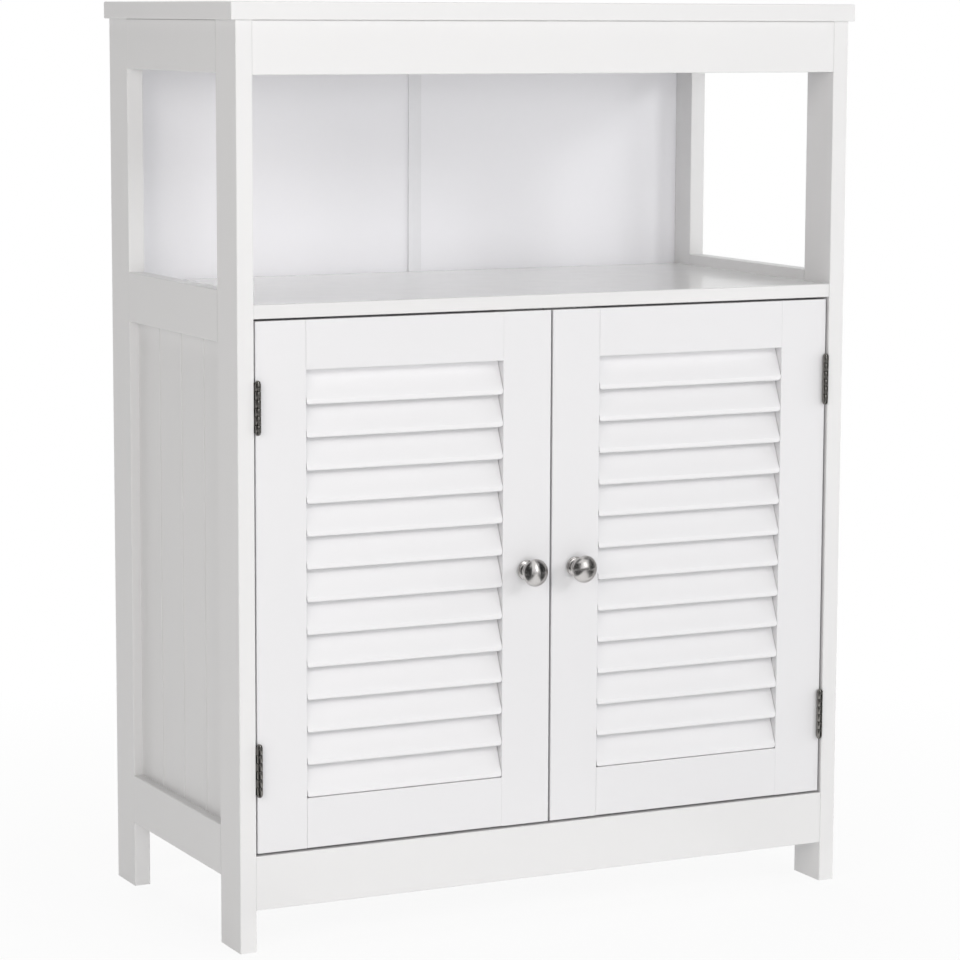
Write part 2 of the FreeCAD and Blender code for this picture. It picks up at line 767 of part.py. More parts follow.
def slat_section(sketch):
    """Slat section: plumb at the nose and at the back, level above and below, leaning back between."""
    return outline(sketch, [
        ("0", "0"),
        ("slat_foot", "0"),
        ("door_thickness", "slat_rise"),
        ("door_thickness", "slat_height"),
        ("slat_run", "slat_height"),
        ("0", "slat_nose"),
    ])


def tenon_section(sketch, clearance, lift="0"):
    """Leaning rectangle of a slat's tenon, or of the mortise that takes it, in the middle of the slat."""
    half_width = f"(slat_tenon_width / 2 + {clearance})"
    half_thick = f"(slat_tenon_thickness / 2 + {clearance})"
    corners = []
    for along, over in (("-", "-"), ("-", "+"), ("+", "+"), ("+", "-")):
        corners.append((
            f"door_thickness / 2 {along} {half_width} * slat_sine {over} {half_thick} * slat_cosine",
            f"{lift} + slat_height / 2 {along} {half_width} * slat_cosine"
            f" {'-' if over == '+' else '+'} {half_thick} * slat_sine",
        ))
    return outline(sketch, corners)


def round_slat_corners(slat):
    """Rounds the two lower corners of a slat, which show at the ends of its nose."""
    corner = "slat_corner_radius"
    near = outline(sketch_on(slat, "XZ_Plane", "overrun"), [
        ("-overrun", "-overrun"), (corner, "-overrun"), (corner, "0", f"-{corner}"), ("0", corner),
        ("-overrun", corner),
    ])
    pocket(slat, near, "door_thickness + overrun")
    inset = f"slat_length - {corner}"
    far = outline(sketch_on(slat, "XZ_Plane", "overrun"), [
        ("slat_length + overrun", "-overrun"), ("slat_length + overrun", corner),
        ("slat_length", corner, f"-{corner}"), (inset, "0"), (inset, "-overrun"),
    ])
    pocket(slat, far, "door_thickness + overrun")


def make_slats():
    """One louvre slat with rounded nose and stub tenons, copied up the door."""
    slat = new_body("slat")
    stock = pad(slat, slat_section(sketch_on(slat, "YZ_Plane")), "slat_length")
    size = {name: value(name) for name in ("slat_foot", "slat_run", "slat_rise", "slat_nose",
                                           "slat_height", "door_thickness")}
    noses = [(0, 0), (size["door_thickness"], size["slat_height"])]
    others = [(size["slat_foot"], 0), (size["door_thickness"], size["slat_rise"]),
              (size["slat_run"], size["slat_height"]), (0, size["slat_nose"])]
    nosed = ease(slat, stock, "slat_nose_radius", "X", noses)
    ease(slat, nosed, "slat_ease", "X", others)
    round_slat_corners(slat)
    tenon = tenon_section(sketch_on(slat, "YZ_Plane"), "0")
    pad(slat, tenon, "slat_length + slat_tenon_length", behind="slat_tenon_length")
    start = "door_rail_start + slat_end_gap"
    lowest = "door_bottom + louvre_lift"
    steps = range(int(value("slat_count")))
    spots = [(start, "door_front", f"{lowest} + {step} * slat_pitch") for step in steps]
    both_sides("door_slats", group("left_door_slats", copies(slat, "+Z", spots)))


def make_stile():
    """Door stile with a row of leaning mortises for the slats and one for each door rail."""
    body = new_body("stile")
    section = rectangle(sketch_on(body, "XY_Plane"), "0", "0", "door_stile_width", "door_thickness")
    stock = pad(body, section, "door_height")
    ease(body, stock, "door_ease", "Z")
    leaning = tenon_section(sketch_on(body, "YZ_Plane", "door_stile_width"), "fit_clearance", "louvre_lift")
    mortise = pocket(body, leaning, "slat_tenon_length + fit_clearance - slat_end_gap")
    pattern(body, [mortise], "Z_Axis", "slat_count", "slat_pitch")
    for low, high in (("0", "door_bottom_rail_height"),
                      ("door_height - door_top_rail_height", "door_height")):
        mouth = rectangle(
            sketch_on(body, "YZ_Plane", "door_stile_width"),
            "door_tenon_side - fit_clearance",
            f"{low} + door_tenon_shoulder - fit_clearance",
            "door_thickness - door_tenon_side + fit_clearance",
            f"{high} - door_tenon_shoulder + fit_clearance",
        )
        pocket(body, mouth, "door_tenon_length + fit_clearance")
    return place(body, "door_left", "door_front", "door_bottom")


def make_stiles(screw_hole):
    """Hinge stile and meeting stile, the second turned about and drilled for the knob and the strike."""
    stile = make_stile()
    hinge_holes = copies(screw_hole, "-X", door_screw_spots())
    both_sides("hinge_stile", cut("left_hinge_stile", stile, hinge_holes))
    turned_stile = mirrored("turned_stile", stile, "x", "door_middle")
    knob_hole = drill("+Y", "knob_across", "door_front", "knob_lift",
                      "knob_screw_radius + fit_clearance", "door_thickness + overrun")
    strike_hole = copies(screw_hole, "+Y", [strike_screw_spot()])
    both_sides("meeting_stile", cut("left_meeting_stile", turned_stile, [knob_hole] + strike_hole))


def make_door_rail(name, height, lift):
    """Door rail, eased along its length, with a tenon on each end."""
    body = new_body(name)
    section = rectangle(sketch_on(body, "YZ_Plane"), "0", "0", "door_thickness", height)
    stock = pad(body, section, "door_rail_length")
    ease(body, stock, "door_ease", "X")
    tenon = rectangle(sketch_on(body, "YZ_Plane"), "door_tenon_side", "door_tenon_shoulder",
                      "door_thickness - door_tenon_side", f"{height} - door_tenon_shoulder")
    pad(body, tenon, "door_rail_length + door_tenon_length", behind="door_tenon_length")
    both_sides(name, place(body, "door_rail_start", "door_front", lift))


# Hinges

def frame_screw_spots():
    """Where the screws of the left frame leaves have their heads."""
    return [("frame_inner + leaf_thickness", "leaf_screw_line", z) for z in leaf_screw_lifts()]


def door_screw_spots():
    """Where the screws of the left door leaves have their heads."""
    return [("door_left - leaf_thickness", "leaf_screw_line", z) for z in leaf_screw_lifts()]


def leaf_screw_lifts():
    """Heights of the screws in a lower and an upper hinge."""
    lifts = []
    for hinge in ("lower_hinge_lift", "upper_hinge_lift"):
        lifts.append(f"{hinge} + leaf_screw_inset")
        lifts.append(f"{hinge} + leaf_length - leaf_screw_inset")
    return lifts


def make_leaf(name, left, right, first):
    """Hinge leaf round its pin's axis: a plate, and every second knuckle of the barrel with its tab."""
    body = new_body(name)
    plate = rectangle(sketch_on(body, "XY_Plane"), left, "plate_start", right, "plate_start + leaf_width")
    pad(body, plate, "leaf_length")
    start = f"{first} * knuckle_pitch + knuckle_clearance / 2"
    tall = "knuckle_pitch - knuckle_clearance"
    tab = pad(body, rectangle(sketch_on(body, "XY_Plane", start), left, "0", right, "plate_start"), tall)
    round_part = pad(body, circle(sketch_on(body, "XY_Plane", start), "barrel_radius"), tall)
    pattern(body, [tab, round_part], "Z_Axis", "knuckle_count / 2", "2 * knuckle_pitch")
    pocket(body, circle(sketch_on(body, "XY_Plane"), "pin_bore_radius"), "leaf_length", reverse=True)
    return body


def make_hinges(screw, screw_hole):
    """Two butt hinges a side: a leaf on the post, a leaf on the door, a capped pin and four screws."""
    frame_left = "frame_inner - hinge_axis"
    door_right = "door_left - hinge_axis"
    frame_leaf = make_leaf("frame_leaf", frame_left, f"{frame_left} + leaf_thickness", 1)
    door_leaf = make_leaf("door_leaf", f"{door_right} - leaf_thickness", door_right, 0)
    pin = turned("hinge_pin", [
        ("0", "-pin_cap_height", "pin_cap_sphere"),
        ("pin_cap_radius", "0"),
        ("hinge_pin_radius", "0"),
        ("hinge_pin_radius", "leaf_length"),
        ("pin_cap_radius", "leaf_length", "pin_cap_sphere"),
        ("0", "leaf_length + pin_cap_height"),
    ])
    frame_spots, door_spots = frame_screw_spots(), door_screw_spots()
    pins = []
    for number, level in enumerate(("lower", "upper")):
        spot = ("hinge_axis", "hinge_front", f"{level}_hinge_lift")
        pair = slice(2 * number, 2 * number + 2)
        for name, leaf, aim, screws in (("frame_leaf", frame_leaf, "+X", frame_spots),
                                        ("door_leaf", door_leaf, "-X", door_spots)):
            blank = copies(leaf, "+Z", [spot])[0]
            label = f"{level}_{name}"
            both_sides(label, cut("left_" + label, blank, copies(screw_hole, aim, screws[pair])))
        pins += copies(pin, "+Z", [spot])
    both_sides("hinge_pins", group("left_hinge_pins", pins))
    left_screws = copies(screw, "+X", frame_spots)
    right_screws = mirrored("right_frame_screws", group("left_frame_screws", left_screws))
    keep("frame_leaf_screws", group("frame_leaf_screws", left_screws + [right_screws]))
    both_sides("door_leaf_screws", group("left_door_leaf_screws", copies(screw, "-X", door_spots)))


# Knobs and catches

def make_knobs():
    """Mushroom knob with a rosette foot, held by a machine screw from behind the door."""
    knob = turned("knob", [
        ("0", "0"),
        ("knob_rosette_radius", "0"),
        ("knob_rosette_radius", "knob_rosette_edge", "-knob_cove_radius"),
        ("knob_neck_radius", "knob_neck_start"),
        ("knob_neck_radius", "knob_neck_end", "knob_under_radius"),
        ("knob_head_radius", "knob_rim_height", "knob_dome_sphere"),
        ("0", "knob_projection"),
    ])
    thread = circle(sketch_on(knob, "XY_Plane"), "knob_screw_radius + fit_clearance")
    pocket(knob, thread, "knob_screw_reach + fit_clearance", reverse=True)
    both_sides("knob", place(knob, "knob_across", "door_front", "knob_lift", "-Y"))
    screw = turned("knob_screw", [
        ("0", "0"),
        ("knob_screw_radius", "0"),
        ("knob_screw_radius", "door_thickness + knob_screw_reach"),
        ("0", "door_thickness + knob_screw_reach"),
    ])
    head = circle(sketch_on(screw, "XY_Plane"), "knob_screw_head_radius")
    pad(screw, head, "knob_screw_head_height", reverse=True)
    both_sides("knob_screw", place(screw, "knob_across", "door_back", "knob_lift", "-Y"))


def catch_screw_spots():
    """Where the screws of the left catch have their heads, on the undersides of its ears."""
    depth = "catch_front + catch_depth / 2"
    lift = "counter_bottom - catch_ear_thickness"
    return [(f"knob_across {side} catch_screw_reach", depth, lift) for side in "-+"]


def strike_screw_spot():
    """Where the screw of the left strike plate has its head."""
    return ("knob_across", "door_back + strike_thickness", "strike_lift")


def make_catches(screw, screw_hole):
    """Magnetic catch under the counter behind each meeting stile, and the strike plate that it holds."""
    case = new_body("catch")
    ear = "catch_ear_width"
    profile = outline(sketch_on(case, "XZ_Plane"), [
        ("0", "catch_height - catch_ear_thickness"), (ear, "catch_height - catch_ear_thickness"),
        (ear, "0"), (f"{ear} + catch_width", "0"),
        (f"{ear} + catch_width", "catch_height - catch_ear_thickness"),
        (f"2 * {ear} + catch_width", "catch_height - catch_ear_thickness"),
        (f"2 * {ear} + catch_width", "catch_height"), ("0", "catch_height"),
    ])
    stock = pad(case, profile, "catch_depth", reverse=True)
    ease(case, stock, "catch_ease", "Y", [(value(ear), 0), (value(f"{ear} + catch_width"), 0)])
    middle = f"{ear} + catch_width / 2"
    window = rectangle(
        sketch_on(case, "XZ_Plane"),
        f"{middle} - magnet_width / 2 - fit_clearance", "(catch_height - magnet_height) / 2 - fit_clearance",
        f"{middle} + magnet_width / 2 + fit_clearance", "(catch_height + magnet_height) / 2 + fit_clearance",
    )
    pocket(case, window, "magnet_depth")
    place(case, f"knob_across - catch_width / 2 - {ear}", "catch_front", "catch_bottom")
    both_sides("catch_case", cut("left_catch_case", case, copies(screw_hole, "-Z", catch_screw_spots())))
    magnet = block("magnet", "magnet_width", "magnet_depth", "magnet_height")
    both_sides("catch_magnet", place(magnet, "knob_across - magnet_width / 2", "catch_front",
                                     "strike_lift - magnet_height / 2"))
    left_screws = copies(screw, "-Z", catch_screw_spots())
    right_screws = mirrored("right_catch_screws", group("left_catch_screws", left_screws))
    keep("catch_screws", group("catch_screws", left_screws + [right_screws]))
    plate = block("strike", "strike_width", "strike_thickness", "strike_height")
    place(plate, "knob_across - strike_width / 2", "door_back", "strike_lift - strike_height / 2")
    strike_spot = [strike_screw_spot()]
    both_sides("strike_plate", cut("left_strike_plate", plate, copies(screw_hole, "+Y", strike_spot)))
    both_sides("strike_screw", group("left_strike_screw", copies(screw, "+Y", strike_spot)))


# Build, check and write

def build():
    """Makes every sub-part."""
    write_sheet()
    spots = dowel_spots()
    screw, screw_hole = make_screws()
    make_posts(spots, screw_hole)
    make_rails()
    make_side_panel()
    make_boards(spots, screw_hole)
    make_top(spots)
    make_dowels(spots)
    make_shelf()
    make_back()
    make_stiles(screw_hole)
    make_door_rail("door_top_rail", "door_top_rail_height", "door_top - door_top_rail_height")
    make_door_rail("door_bottom_rail", "door_bottom_rail_height", "door_bottom")
    make_slats()
    make_hinges(screw, screw_hole)
    make_knobs()
    make_catches(screw, screw_hole)
    doc.recompute()


def check():
    """Stops if any object failed or any sub-part has no sound shape."""
    for item in doc.Objects:
        if "Invalid" in item.State or "Error" in item.State:
            raise RuntimeError(f"{item.Label}: {item.State}")
    for label, item in parts.items():
        if item.Shape.isNull() or not item.Shape.isValid() or not item.Shape.Solids:
            raise RuntimeError(f"{label}: its shape is not sound")


def write():
    """Writes one file for each sub-part."""
    os.makedirs("parts", exist_ok=True)
    for label, item in parts.items():
        item.Shape.exportStep(f"parts/{label}.step")
        print(f"{label}: {len(item.Shape.Solids)} solids, {item.Shape.Volume:.0f} mm3")
    print(f"{len(parts)} parts")


build()
check()
write()
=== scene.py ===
# %% [markdown]
# # A louvred door cabinet
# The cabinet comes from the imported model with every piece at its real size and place, in metres: X to the
# right, Y to the back, Z up from the floor. Here it gets its finishes, its small metalwork and its
# portrait. The whole box is noted before anything is added, so that the end can show that nothing grew.

# %% Load the cabinet
import json
import math

import bpy
from mathutils import Matrix, Vector


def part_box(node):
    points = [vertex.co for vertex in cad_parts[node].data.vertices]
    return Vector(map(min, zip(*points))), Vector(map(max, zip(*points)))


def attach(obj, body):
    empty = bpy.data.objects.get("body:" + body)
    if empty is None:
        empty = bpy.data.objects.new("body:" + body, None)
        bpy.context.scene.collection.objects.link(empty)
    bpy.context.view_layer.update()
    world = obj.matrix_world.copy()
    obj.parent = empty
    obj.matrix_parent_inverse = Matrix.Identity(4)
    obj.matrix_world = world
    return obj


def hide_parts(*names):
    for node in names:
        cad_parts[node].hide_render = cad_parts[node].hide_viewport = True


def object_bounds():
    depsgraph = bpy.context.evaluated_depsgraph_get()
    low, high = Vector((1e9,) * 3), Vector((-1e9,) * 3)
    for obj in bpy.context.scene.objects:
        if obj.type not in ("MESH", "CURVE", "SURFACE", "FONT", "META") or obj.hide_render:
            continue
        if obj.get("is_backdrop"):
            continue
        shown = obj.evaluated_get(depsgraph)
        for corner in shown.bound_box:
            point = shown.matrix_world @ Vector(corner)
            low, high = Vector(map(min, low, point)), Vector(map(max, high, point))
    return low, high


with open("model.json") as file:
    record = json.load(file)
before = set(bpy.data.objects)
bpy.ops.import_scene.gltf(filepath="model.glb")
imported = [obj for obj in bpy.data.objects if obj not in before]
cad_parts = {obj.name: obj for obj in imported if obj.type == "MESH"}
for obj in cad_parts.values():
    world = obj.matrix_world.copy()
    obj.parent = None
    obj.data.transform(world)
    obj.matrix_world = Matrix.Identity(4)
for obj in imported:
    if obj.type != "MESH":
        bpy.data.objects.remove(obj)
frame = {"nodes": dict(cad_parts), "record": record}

cad_low, cad_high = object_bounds()
scene = bpy.context.scene
mm = 0.001
print("pieces loaded:", len(frame["nodes"]), "box in mm:", [round(side / mm) for side in cad_high - cad_low])

# %% [markdown]
# ## Camera
# The photograph was taken from the left at the height of the top board, with a long lens, so that the
# uprights stay almost parallel. A camera can be placed by eye, but edges measured in the photograph give
# its place, its turn and its lens by a fit, and those numbers are used here. The photograph's uprights were
# straightened, which only a lens shift could copy fully. Other views would keep that shift and stand off
# centre, so there is none.

# %% Place the camera
eye = Vector((-1.35601, -2.72951, 0.79122))
turn_right, tip_down, roll = math.radians(26.377), math.radians(7.837), math.radians(0.226)
sensor_mm, lens_mm = 36, 127.26
bpy.ops.object.camera_add(location=eye)
camera = bpy.context.object
camera.name = "portrait_camera"
camera.data.sensor_width = sensor_mm
camera.data.lens = lens_mm
aim = Matrix.Rotation(-turn_right, 3, "Z") @ Matrix.Rotation(math.pi / 2 - tip_down, 3, "X")
camera.rotation_euler = (aim @ Matrix.Rotation(roll, 3, "Z")).to_euler()
scene.camera = camera
scene.view_settings.view_transform = "Standard"
print("camera is", round((eye - (cad_low + cad_high) / 2).length, 2), "m from the cabinet's middle")

# %% [markdown]
# ## Studio light
# White furniture on white needs light that still tells one face from the next. A pale world lights
# everything a little, and lamps do the rest: a low one in front makes the doors the brightest faces and
# fills the louvres, a high one shows in the knobs as a bright band, a small key lamp on the right throws
# the knobs' shadows down to the left, one far right reaches into the niche, and a warm one on the left
# opens the grey side. Two more, above and behind, are for the faces that the photograph doesn't show. The
# world looks pure white to the camera, to gloss and to glass, and gives the rest a plain level. The powers
# started from a fit, in which each lamp was tried alone and the sum matched to the photograph, and were
# then set until doors, slats and knobs looked right together.

# %% World
def add(tree, kind, **values):
    """A node with its settings and its plain input values."""
    node = tree.nodes.new(kind)
    for name, value in values.items():
        if hasattr(node, name):
            setattr(node, name, value)
        else:
            node.inputs[name.replace("_", " ")].default_value = value
    return node


def seen_rays(tree, *kinds):
    """One where a ray is of any of these kinds, else zero."""
    path = add(tree, "ShaderNodeLightPath")
    result = path.outputs[kinds[0]]
    for kind in kinds[1:]:
        either = add(tree, "ShaderNodeMath", operation="MAXIMUM")
        tree.links.new(result, either.inputs[0])
        tree.links.new(path.outputs[kind], either.inputs[1])
        result = either.outputs[0]
    return result


ambient_level = 0.1
world = bpy.data.worlds.new("white_room")
scene.world = world
world.use_nodes = True
tree = world.node_tree
tree.nodes.clear()
white = (1, 1, 1, 1)
felt = add(tree, "ShaderNodeBackground", Color=white, Strength=ambient_level)
seen = add(tree, "ShaderNodeBackground", Color=white, Strength=1)
mix = add(tree, "ShaderNodeMixShader")
tree.links.new(seen_rays(tree, "Is Camera Ray", "Is Glossy Ray", "Is Transmission Ray"), mix.inputs["Fac"])
tree.links.new(felt.outputs[0], mix.inputs[1])
tree.links.new(seen.outputs[0], mix.inputs[2])
tree.links.new(mix.outputs[0], add(tree, "ShaderNodeOutputWorld").inputs["Surface"])
print("world gives", ambient_level, "to surfaces and shows white")


# %% Lamps
look_at = Vector((0, 0, 0.4))


def soft_lamp(name, place, width, height, power, tint=(1, 1, 1), in_gloss=False):
    """A lamp with a soft panel that faces the middle of the cabinet, and shows in gloss only where asked."""
    bpy.ops.object.light_add(type="AREA", location=place)
    lamp = bpy.context.object
    lamp.name = name
    lamp.data.shape = "RECTANGLE"
    lamp.data.size = width
    lamp.data.size_y = height
    lamp.data.energy = power
    lamp.data.color = tint
    lamp.visible_glossy = in_gloss
    lamp.rotation_euler = (look_at - Vector(place)).to_track_quat("-Z", "Y").to_euler()
    return lamp


lamps = [
    soft_lamp("front_lamp", (-0.6, -4.2, 0.6), 1.7, 1.3, 51.5),
    soft_lamp("high_lamp", (0.7, -3.4, 2.4), 0.7, 2.2, 17, in_gloss=True),
    soft_lamp("key_lamp", (2.6, -3.3, 2.1), 0.9, 0.9, 35),
    soft_lamp("right_lamp", (3.6, -1.2, 1.0), 1.6, 1.6, 42),
    soft_lamp("left_lamp", (-2.2, -1.6, 1.3), 1.6, 1.6, 24.5, tint=(1, 0.97, 0.945)),
    soft_lamp("top_lamp", (0, 0.5, 3.1), 2.0, 2.0, 30),
    soft_lamp("back_lamp", (0.3, 3.8, 1.5), 2.0, 2.0, 58),
]
print("lamps in watts:", {lamp.name: lamp.data.energy for lamp in lamps})

# %% [markdown]
# ## Floor and dark cards
# The floor is a plain pale disc. Near the cabinet the camera sees mostly white with a share of the true
# matt floor, so the shadow stays, and further out it fades to white, so there is no edge. To the pieces
# themselves it gives a lower glow, as a bright studio floor does. Bare metal in an all-white room looks
# like chalk. Photographers put dark cards around the object to draw dark bands on it, and so does this
# scene: upright on both sides, flat on the floor and overhead, with a white lane left open in front, and a
# low one across that lane. They show in gloss alone, so they take no light from the white pieces.

# %% Floor
floor_radius, fade_start, fade_end = 6, 0.3, 1.0
near_white, floor_glow = 0.9, 0.3
bpy.ops.object.select_all(action="DESELECT")
bpy.ops.mesh.primitive_circle_add(vertices=96, radius=floor_radius, fill_type="NGON", location=(0, 0, 0))
floor = bpy.context.object
floor.name = "studio_floor"
paint = bpy.data.materials.new("studio_floor_white")
paint.use_nodes = True
tree = paint.node_tree
tree.nodes.clear()
matt = add(tree, "ShaderNodeBsdfDiffuse", Color=(0.9, 0.9, 0.9, 1))
glow = add(tree, "ShaderNodeEmission", Color=white, Strength=1)
distance = add(tree, "ShaderNodeVectorMath", operation="LENGTH")
fade = add(tree, "ShaderNodeMapRange", From_Min=fade_start, From_Max=fade_end, To_Min=near_white, To_Max=1)
share = add(tree, "ShaderNodeMath", operation="MULTIPLY")
least = add(tree, "ShaderNodeMath", operation="MAXIMUM")
least.inputs[1].default_value = floor_glow
mix = add(tree, "ShaderNodeMixShader")
tree.links.new(add(tree, "ShaderNodeTexCoord").outputs["Object"], distance.inputs[0])
tree.links.new(distance.outputs["Value"], fade.inputs["Value"])
tree.links.new(fade.outputs[0], share.inputs[0])
tree.links.new(seen_rays(tree, "Is Camera Ray", "Is Glossy Ray"), share.inputs[1])
tree.links.new(share.outputs[0], least.inputs[0])
tree.links.new(least.outputs[0], mix.inputs["Fac"])
tree.links.new(matt.outputs[0], mix.inputs[1])
tree.links.new(glow.outputs[0], mix.inputs[2])
tree.links.new(mix.outputs[0], add(tree, "ShaderNodeOutputMaterial").inputs["Surface"])
floor.data.materials.append(paint)
floor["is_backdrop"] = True
print("floor fades to white from", fade_start, "to", fade_end, "m")

# %% Dark cards
black = bpy.data.materials.new("card_black")
black.use_nodes = True
shader = black.node_tree.nodes["Principled BSDF"]
shader.inputs["Base Color"].default_value = (0.02, 0.02, 0.02, 1)
shader.inputs["Roughness"].default_value = 0.9


def dark_card(name, place, width, height, flat=False):
    """A card that faces the cabinet, or lies flat, and shows in gloss alone."""
    bpy.ops.object.select_all(action="DESELECT")
    bpy.ops.mesh.primitive_plane_add(size=1, location=place)
    card = bpy.context.object
    card.name = name
    if not flat:
        card.rotation_euler = (look_at - Vector(place)).to_track_quat("Z", "Y").to_euler()
    card.scale = (width, height, 1)
    card.data.materials.append(black)
    for ray in ("camera", "diffuse", "transmission", "volume_scatter", "shadow"):
        setattr(card, "visible_" + ray, False)
    card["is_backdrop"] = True
    return card


cards = [
    dark_card("left_front_card", (-2.0, -1.7, 1.2), 2.2, 2.8),
    dark_card("left_card", (-2.4, -0.3, 1.2), 2.6, 2.6),
    dark_card("right_card", (2.2, -1.1, 1.2), 3.0, 2.6),
    dark_card("low_card", (0.1, -2.4, 0.28), 2.6, 0.45),
    dark_card("left_floor_card", (-0.95, -1.1, 0.01), 1.5, 1.8, flat=True),
    dark_card("right_floor_card", (1.0, -1.1, 0.01), 1.5, 1.8, flat=True),
    dark_card("left_ceiling_card", (-1.7, -0.2, 3.2), 2.4, 2.6),
    dark_card("right_ceiling_card", (2.1, -0.2, 3.2), 2.4, 2.6),
]
print("cards:", [card.name for card in cards])

# %% [markdown]
# ## Effects that several finishes share
# A lacquer isn't one flat white. Its tone drifts by a percent over a board, its gloss is a little uneven,
# and the sprayed skin has a fine orange peel. That is built once as a node group and placed in each white
# finish with its own values. Object coordinates keep the grain at its real size on every board.


# %% Lacquer skin group
def new_group(name, inputs, outputs):
    """An empty shader group with its sockets and the two nodes inside that stand for them."""
    group = bpy.data.node_groups.new(name, "ShaderNodeTree")
    for label, kind, value in inputs:
        socket = group.interface.new_socket(label, in_out="INPUT", socket_type="NodeSocket" + kind)
        socket.default_value = value
    for label, kind in outputs:
        group.interface.new_socket(label, in_out="OUTPUT", socket_type="NodeSocket" + kind)
    return group, group.nodes.new("NodeGroupInput"), group.nodes.new("NodeGroupOutput")


def combine(group, operation, first, second):
    """Adds, multiplies or compares two values or sockets."""
    node = add(group, "ShaderNodeMath", operation=operation)
    for number, value in enumerate((first, second)):
        if isinstance(value, (int, float)):
            node.inputs[number].default_value = value
        else:
            group.links.new(value, node.inputs[number])
    return node.outputs[0]


def noise(group, vector, scale, detail=2.0, roughness=0.5):
    """A noise texture on a vector socket."""
    node = add(group, "ShaderNodeTexNoise", Detail=detail, Roughness=roughness)
    if isinstance(scale, (int, float)):
        node.inputs["Scale"].default_value = scale
    else:
        group.links.new(scale, node.inputs["Scale"])
    group.links.new(vector, node.inputs["Vector"])
    return node.outputs["Fac"]


def toned(group, colour, tone):
    """A colour made lighter or darker by a value near one."""
    node = add(group, "ShaderNodeMix", data_type="RGBA", blend_type="MULTIPLY")
    node.inputs["Factor"].default_value = 1
    group.links.new(colour, node.inputs["A"])
    group.links.new(tone, node.inputs["B"])
    return node.outputs["Result"]


lacquer_skin, given, made = new_group(
    "lacquer_skin",
    [("Colour", "Color", white), ("Tone drift", "Float", 0.015), ("Roughness", "Float", 0.25),
     ("Gloss drift", "Float", 0.04), ("Peel scale", "Float", 700.0)],
    [("Colour", "Color"), ("Roughness", "Float"), ("Height", "Float")],
)
tree = lacquer_skin
where = add(tree, "ShaderNodeTexCoord").outputs["Object"]
drift = combine(tree, "SUBTRACT", noise(tree, where, 5.0, 3.0), 0.5)
tone = combine(tree, "ADD", 1.0, combine(tree, "MULTIPLY", drift, given.outputs["Tone drift"]))
gloss = combine(tree, "SUBTRACT", noise(tree, where, 38.0, 4.0, 0.6), 0.5)
rough = combine(tree, "ADD", given.outputs["Roughness"],
                combine(tree, "MULTIPLY", gloss, given.outputs["Gloss drift"]))
peel = noise(tree, where, given.outputs["Peel scale"], 1.0)
tree.links.new(toned(tree, given.outputs["Colour"], tone), made.inputs["Colour"])
tree.links.new(rough, made.inputs["Roughness"])
tree.links.new(peel, made.inputs["Height"])
print("group:", lacquer_skin.name, len(tree.nodes), "nodes")

# %% [markdown]
# Worked metal has fine marks that run one way: along a drawn strip, round a turned knob. A second group
# makes them from a noise on coordinates that each finish stretches in its own way, and mixes in a cloudy
# plating.

# %% Worked metal group
worked_metal, given, made = new_group(
    "worked_metal",
    [("Vector", "Vector", (0, 0, 0)), ("Colour", "Color", white), ("Roughness", "Float", 0.25),
     ("Line depth", "Float", 0.1), ("Cloud", "Float", 0.1)],
    [("Colour", "Color"), ("Roughness", "Float"), ("Height", "Float")],
)
tree = worked_metal
where = add(tree, "ShaderNodeTexCoord").outputs["Object"]
lines = combine(tree, "SUBTRACT", noise(tree, given.outputs["Vector"], 1.0, 3.0, 0.7), 0.5)
cloud = combine(tree, "SUBTRACT", noise(tree, where, 160.0, 3.0), 0.5)
tone = combine(tree, "ADD", 1.0, combine(tree, "MULTIPLY", cloud, given.outputs["Cloud"]))
tone = combine(tree, "ADD", tone, combine(tree, "MULTIPLY", lines, given.outputs["Line depth"]))
rough = combine(tree, "ADD", given.outputs["Roughness"],
                combine(tree, "MULTIPLY", lines, given.outputs["Line depth"]))
rough = combine(tree, "ADD", rough, combine(tree, "MULTIPLY", cloud, 0.1))
tree.links.new(toned(tree, given.outputs["Colour"], tone), made.inputs["Colour"])
tree.links.new(rough, made.inputs["Roughness"])
tree.links.new(lines, made.inputs["Height"])
print("group:", worked_metal.name, len(tree.nodes), "nodes")

# %% [markdown]
# ## White finishes
# The posts, rails, panels and boards are sprayed fibreboard with a satin white lacquer. The doors have
# almost the same white, and their slats a touch paler copy of it, painted light that makes them brighter than
# the lamps alone do. The counter is glossier, because it mirrors the back, and its top is painted paler as
# painted light, but its front edge keeps the white of the posts. That edge is picked by its place: it lies in
# front of all the rest. Each finish is one Principled shader, with its own constants on the shader itself.


# %% White lacquer
def finish_with(name, group, values, bump=0.1, depth=0.0002, **constants):
    """A material with colour, roughness and bump from a group, and the rest from plain shader values."""
    material = bpy.data.materials.new(name)
    material.use_nodes = True
    tree = material.node_tree
    shader = tree.nodes["Principled BSDF"]
    for label, value in constants.items():
        shader.inputs[label.replace("_", " ")].default_value = value
    skin = add(tree, "ShaderNodeGroup", node_tree=group)
    for label, value in values.items():
        skin.inputs[label].default_value = value
    relief = add(tree, "ShaderNodeBump", Strength=bump, Distance=depth)
    tree.links.new(skin.outputs["Colour"], shader.inputs["Base Color"])
    tree.links.new(skin.outputs["Roughness"], shader.inputs["Roughness"])
    tree.links.new(skin.outputs["Height"], relief.inputs["Height"])
    tree.links.new(relief.outputs["Normal"], shader.inputs["Normal"])
    return material, skin


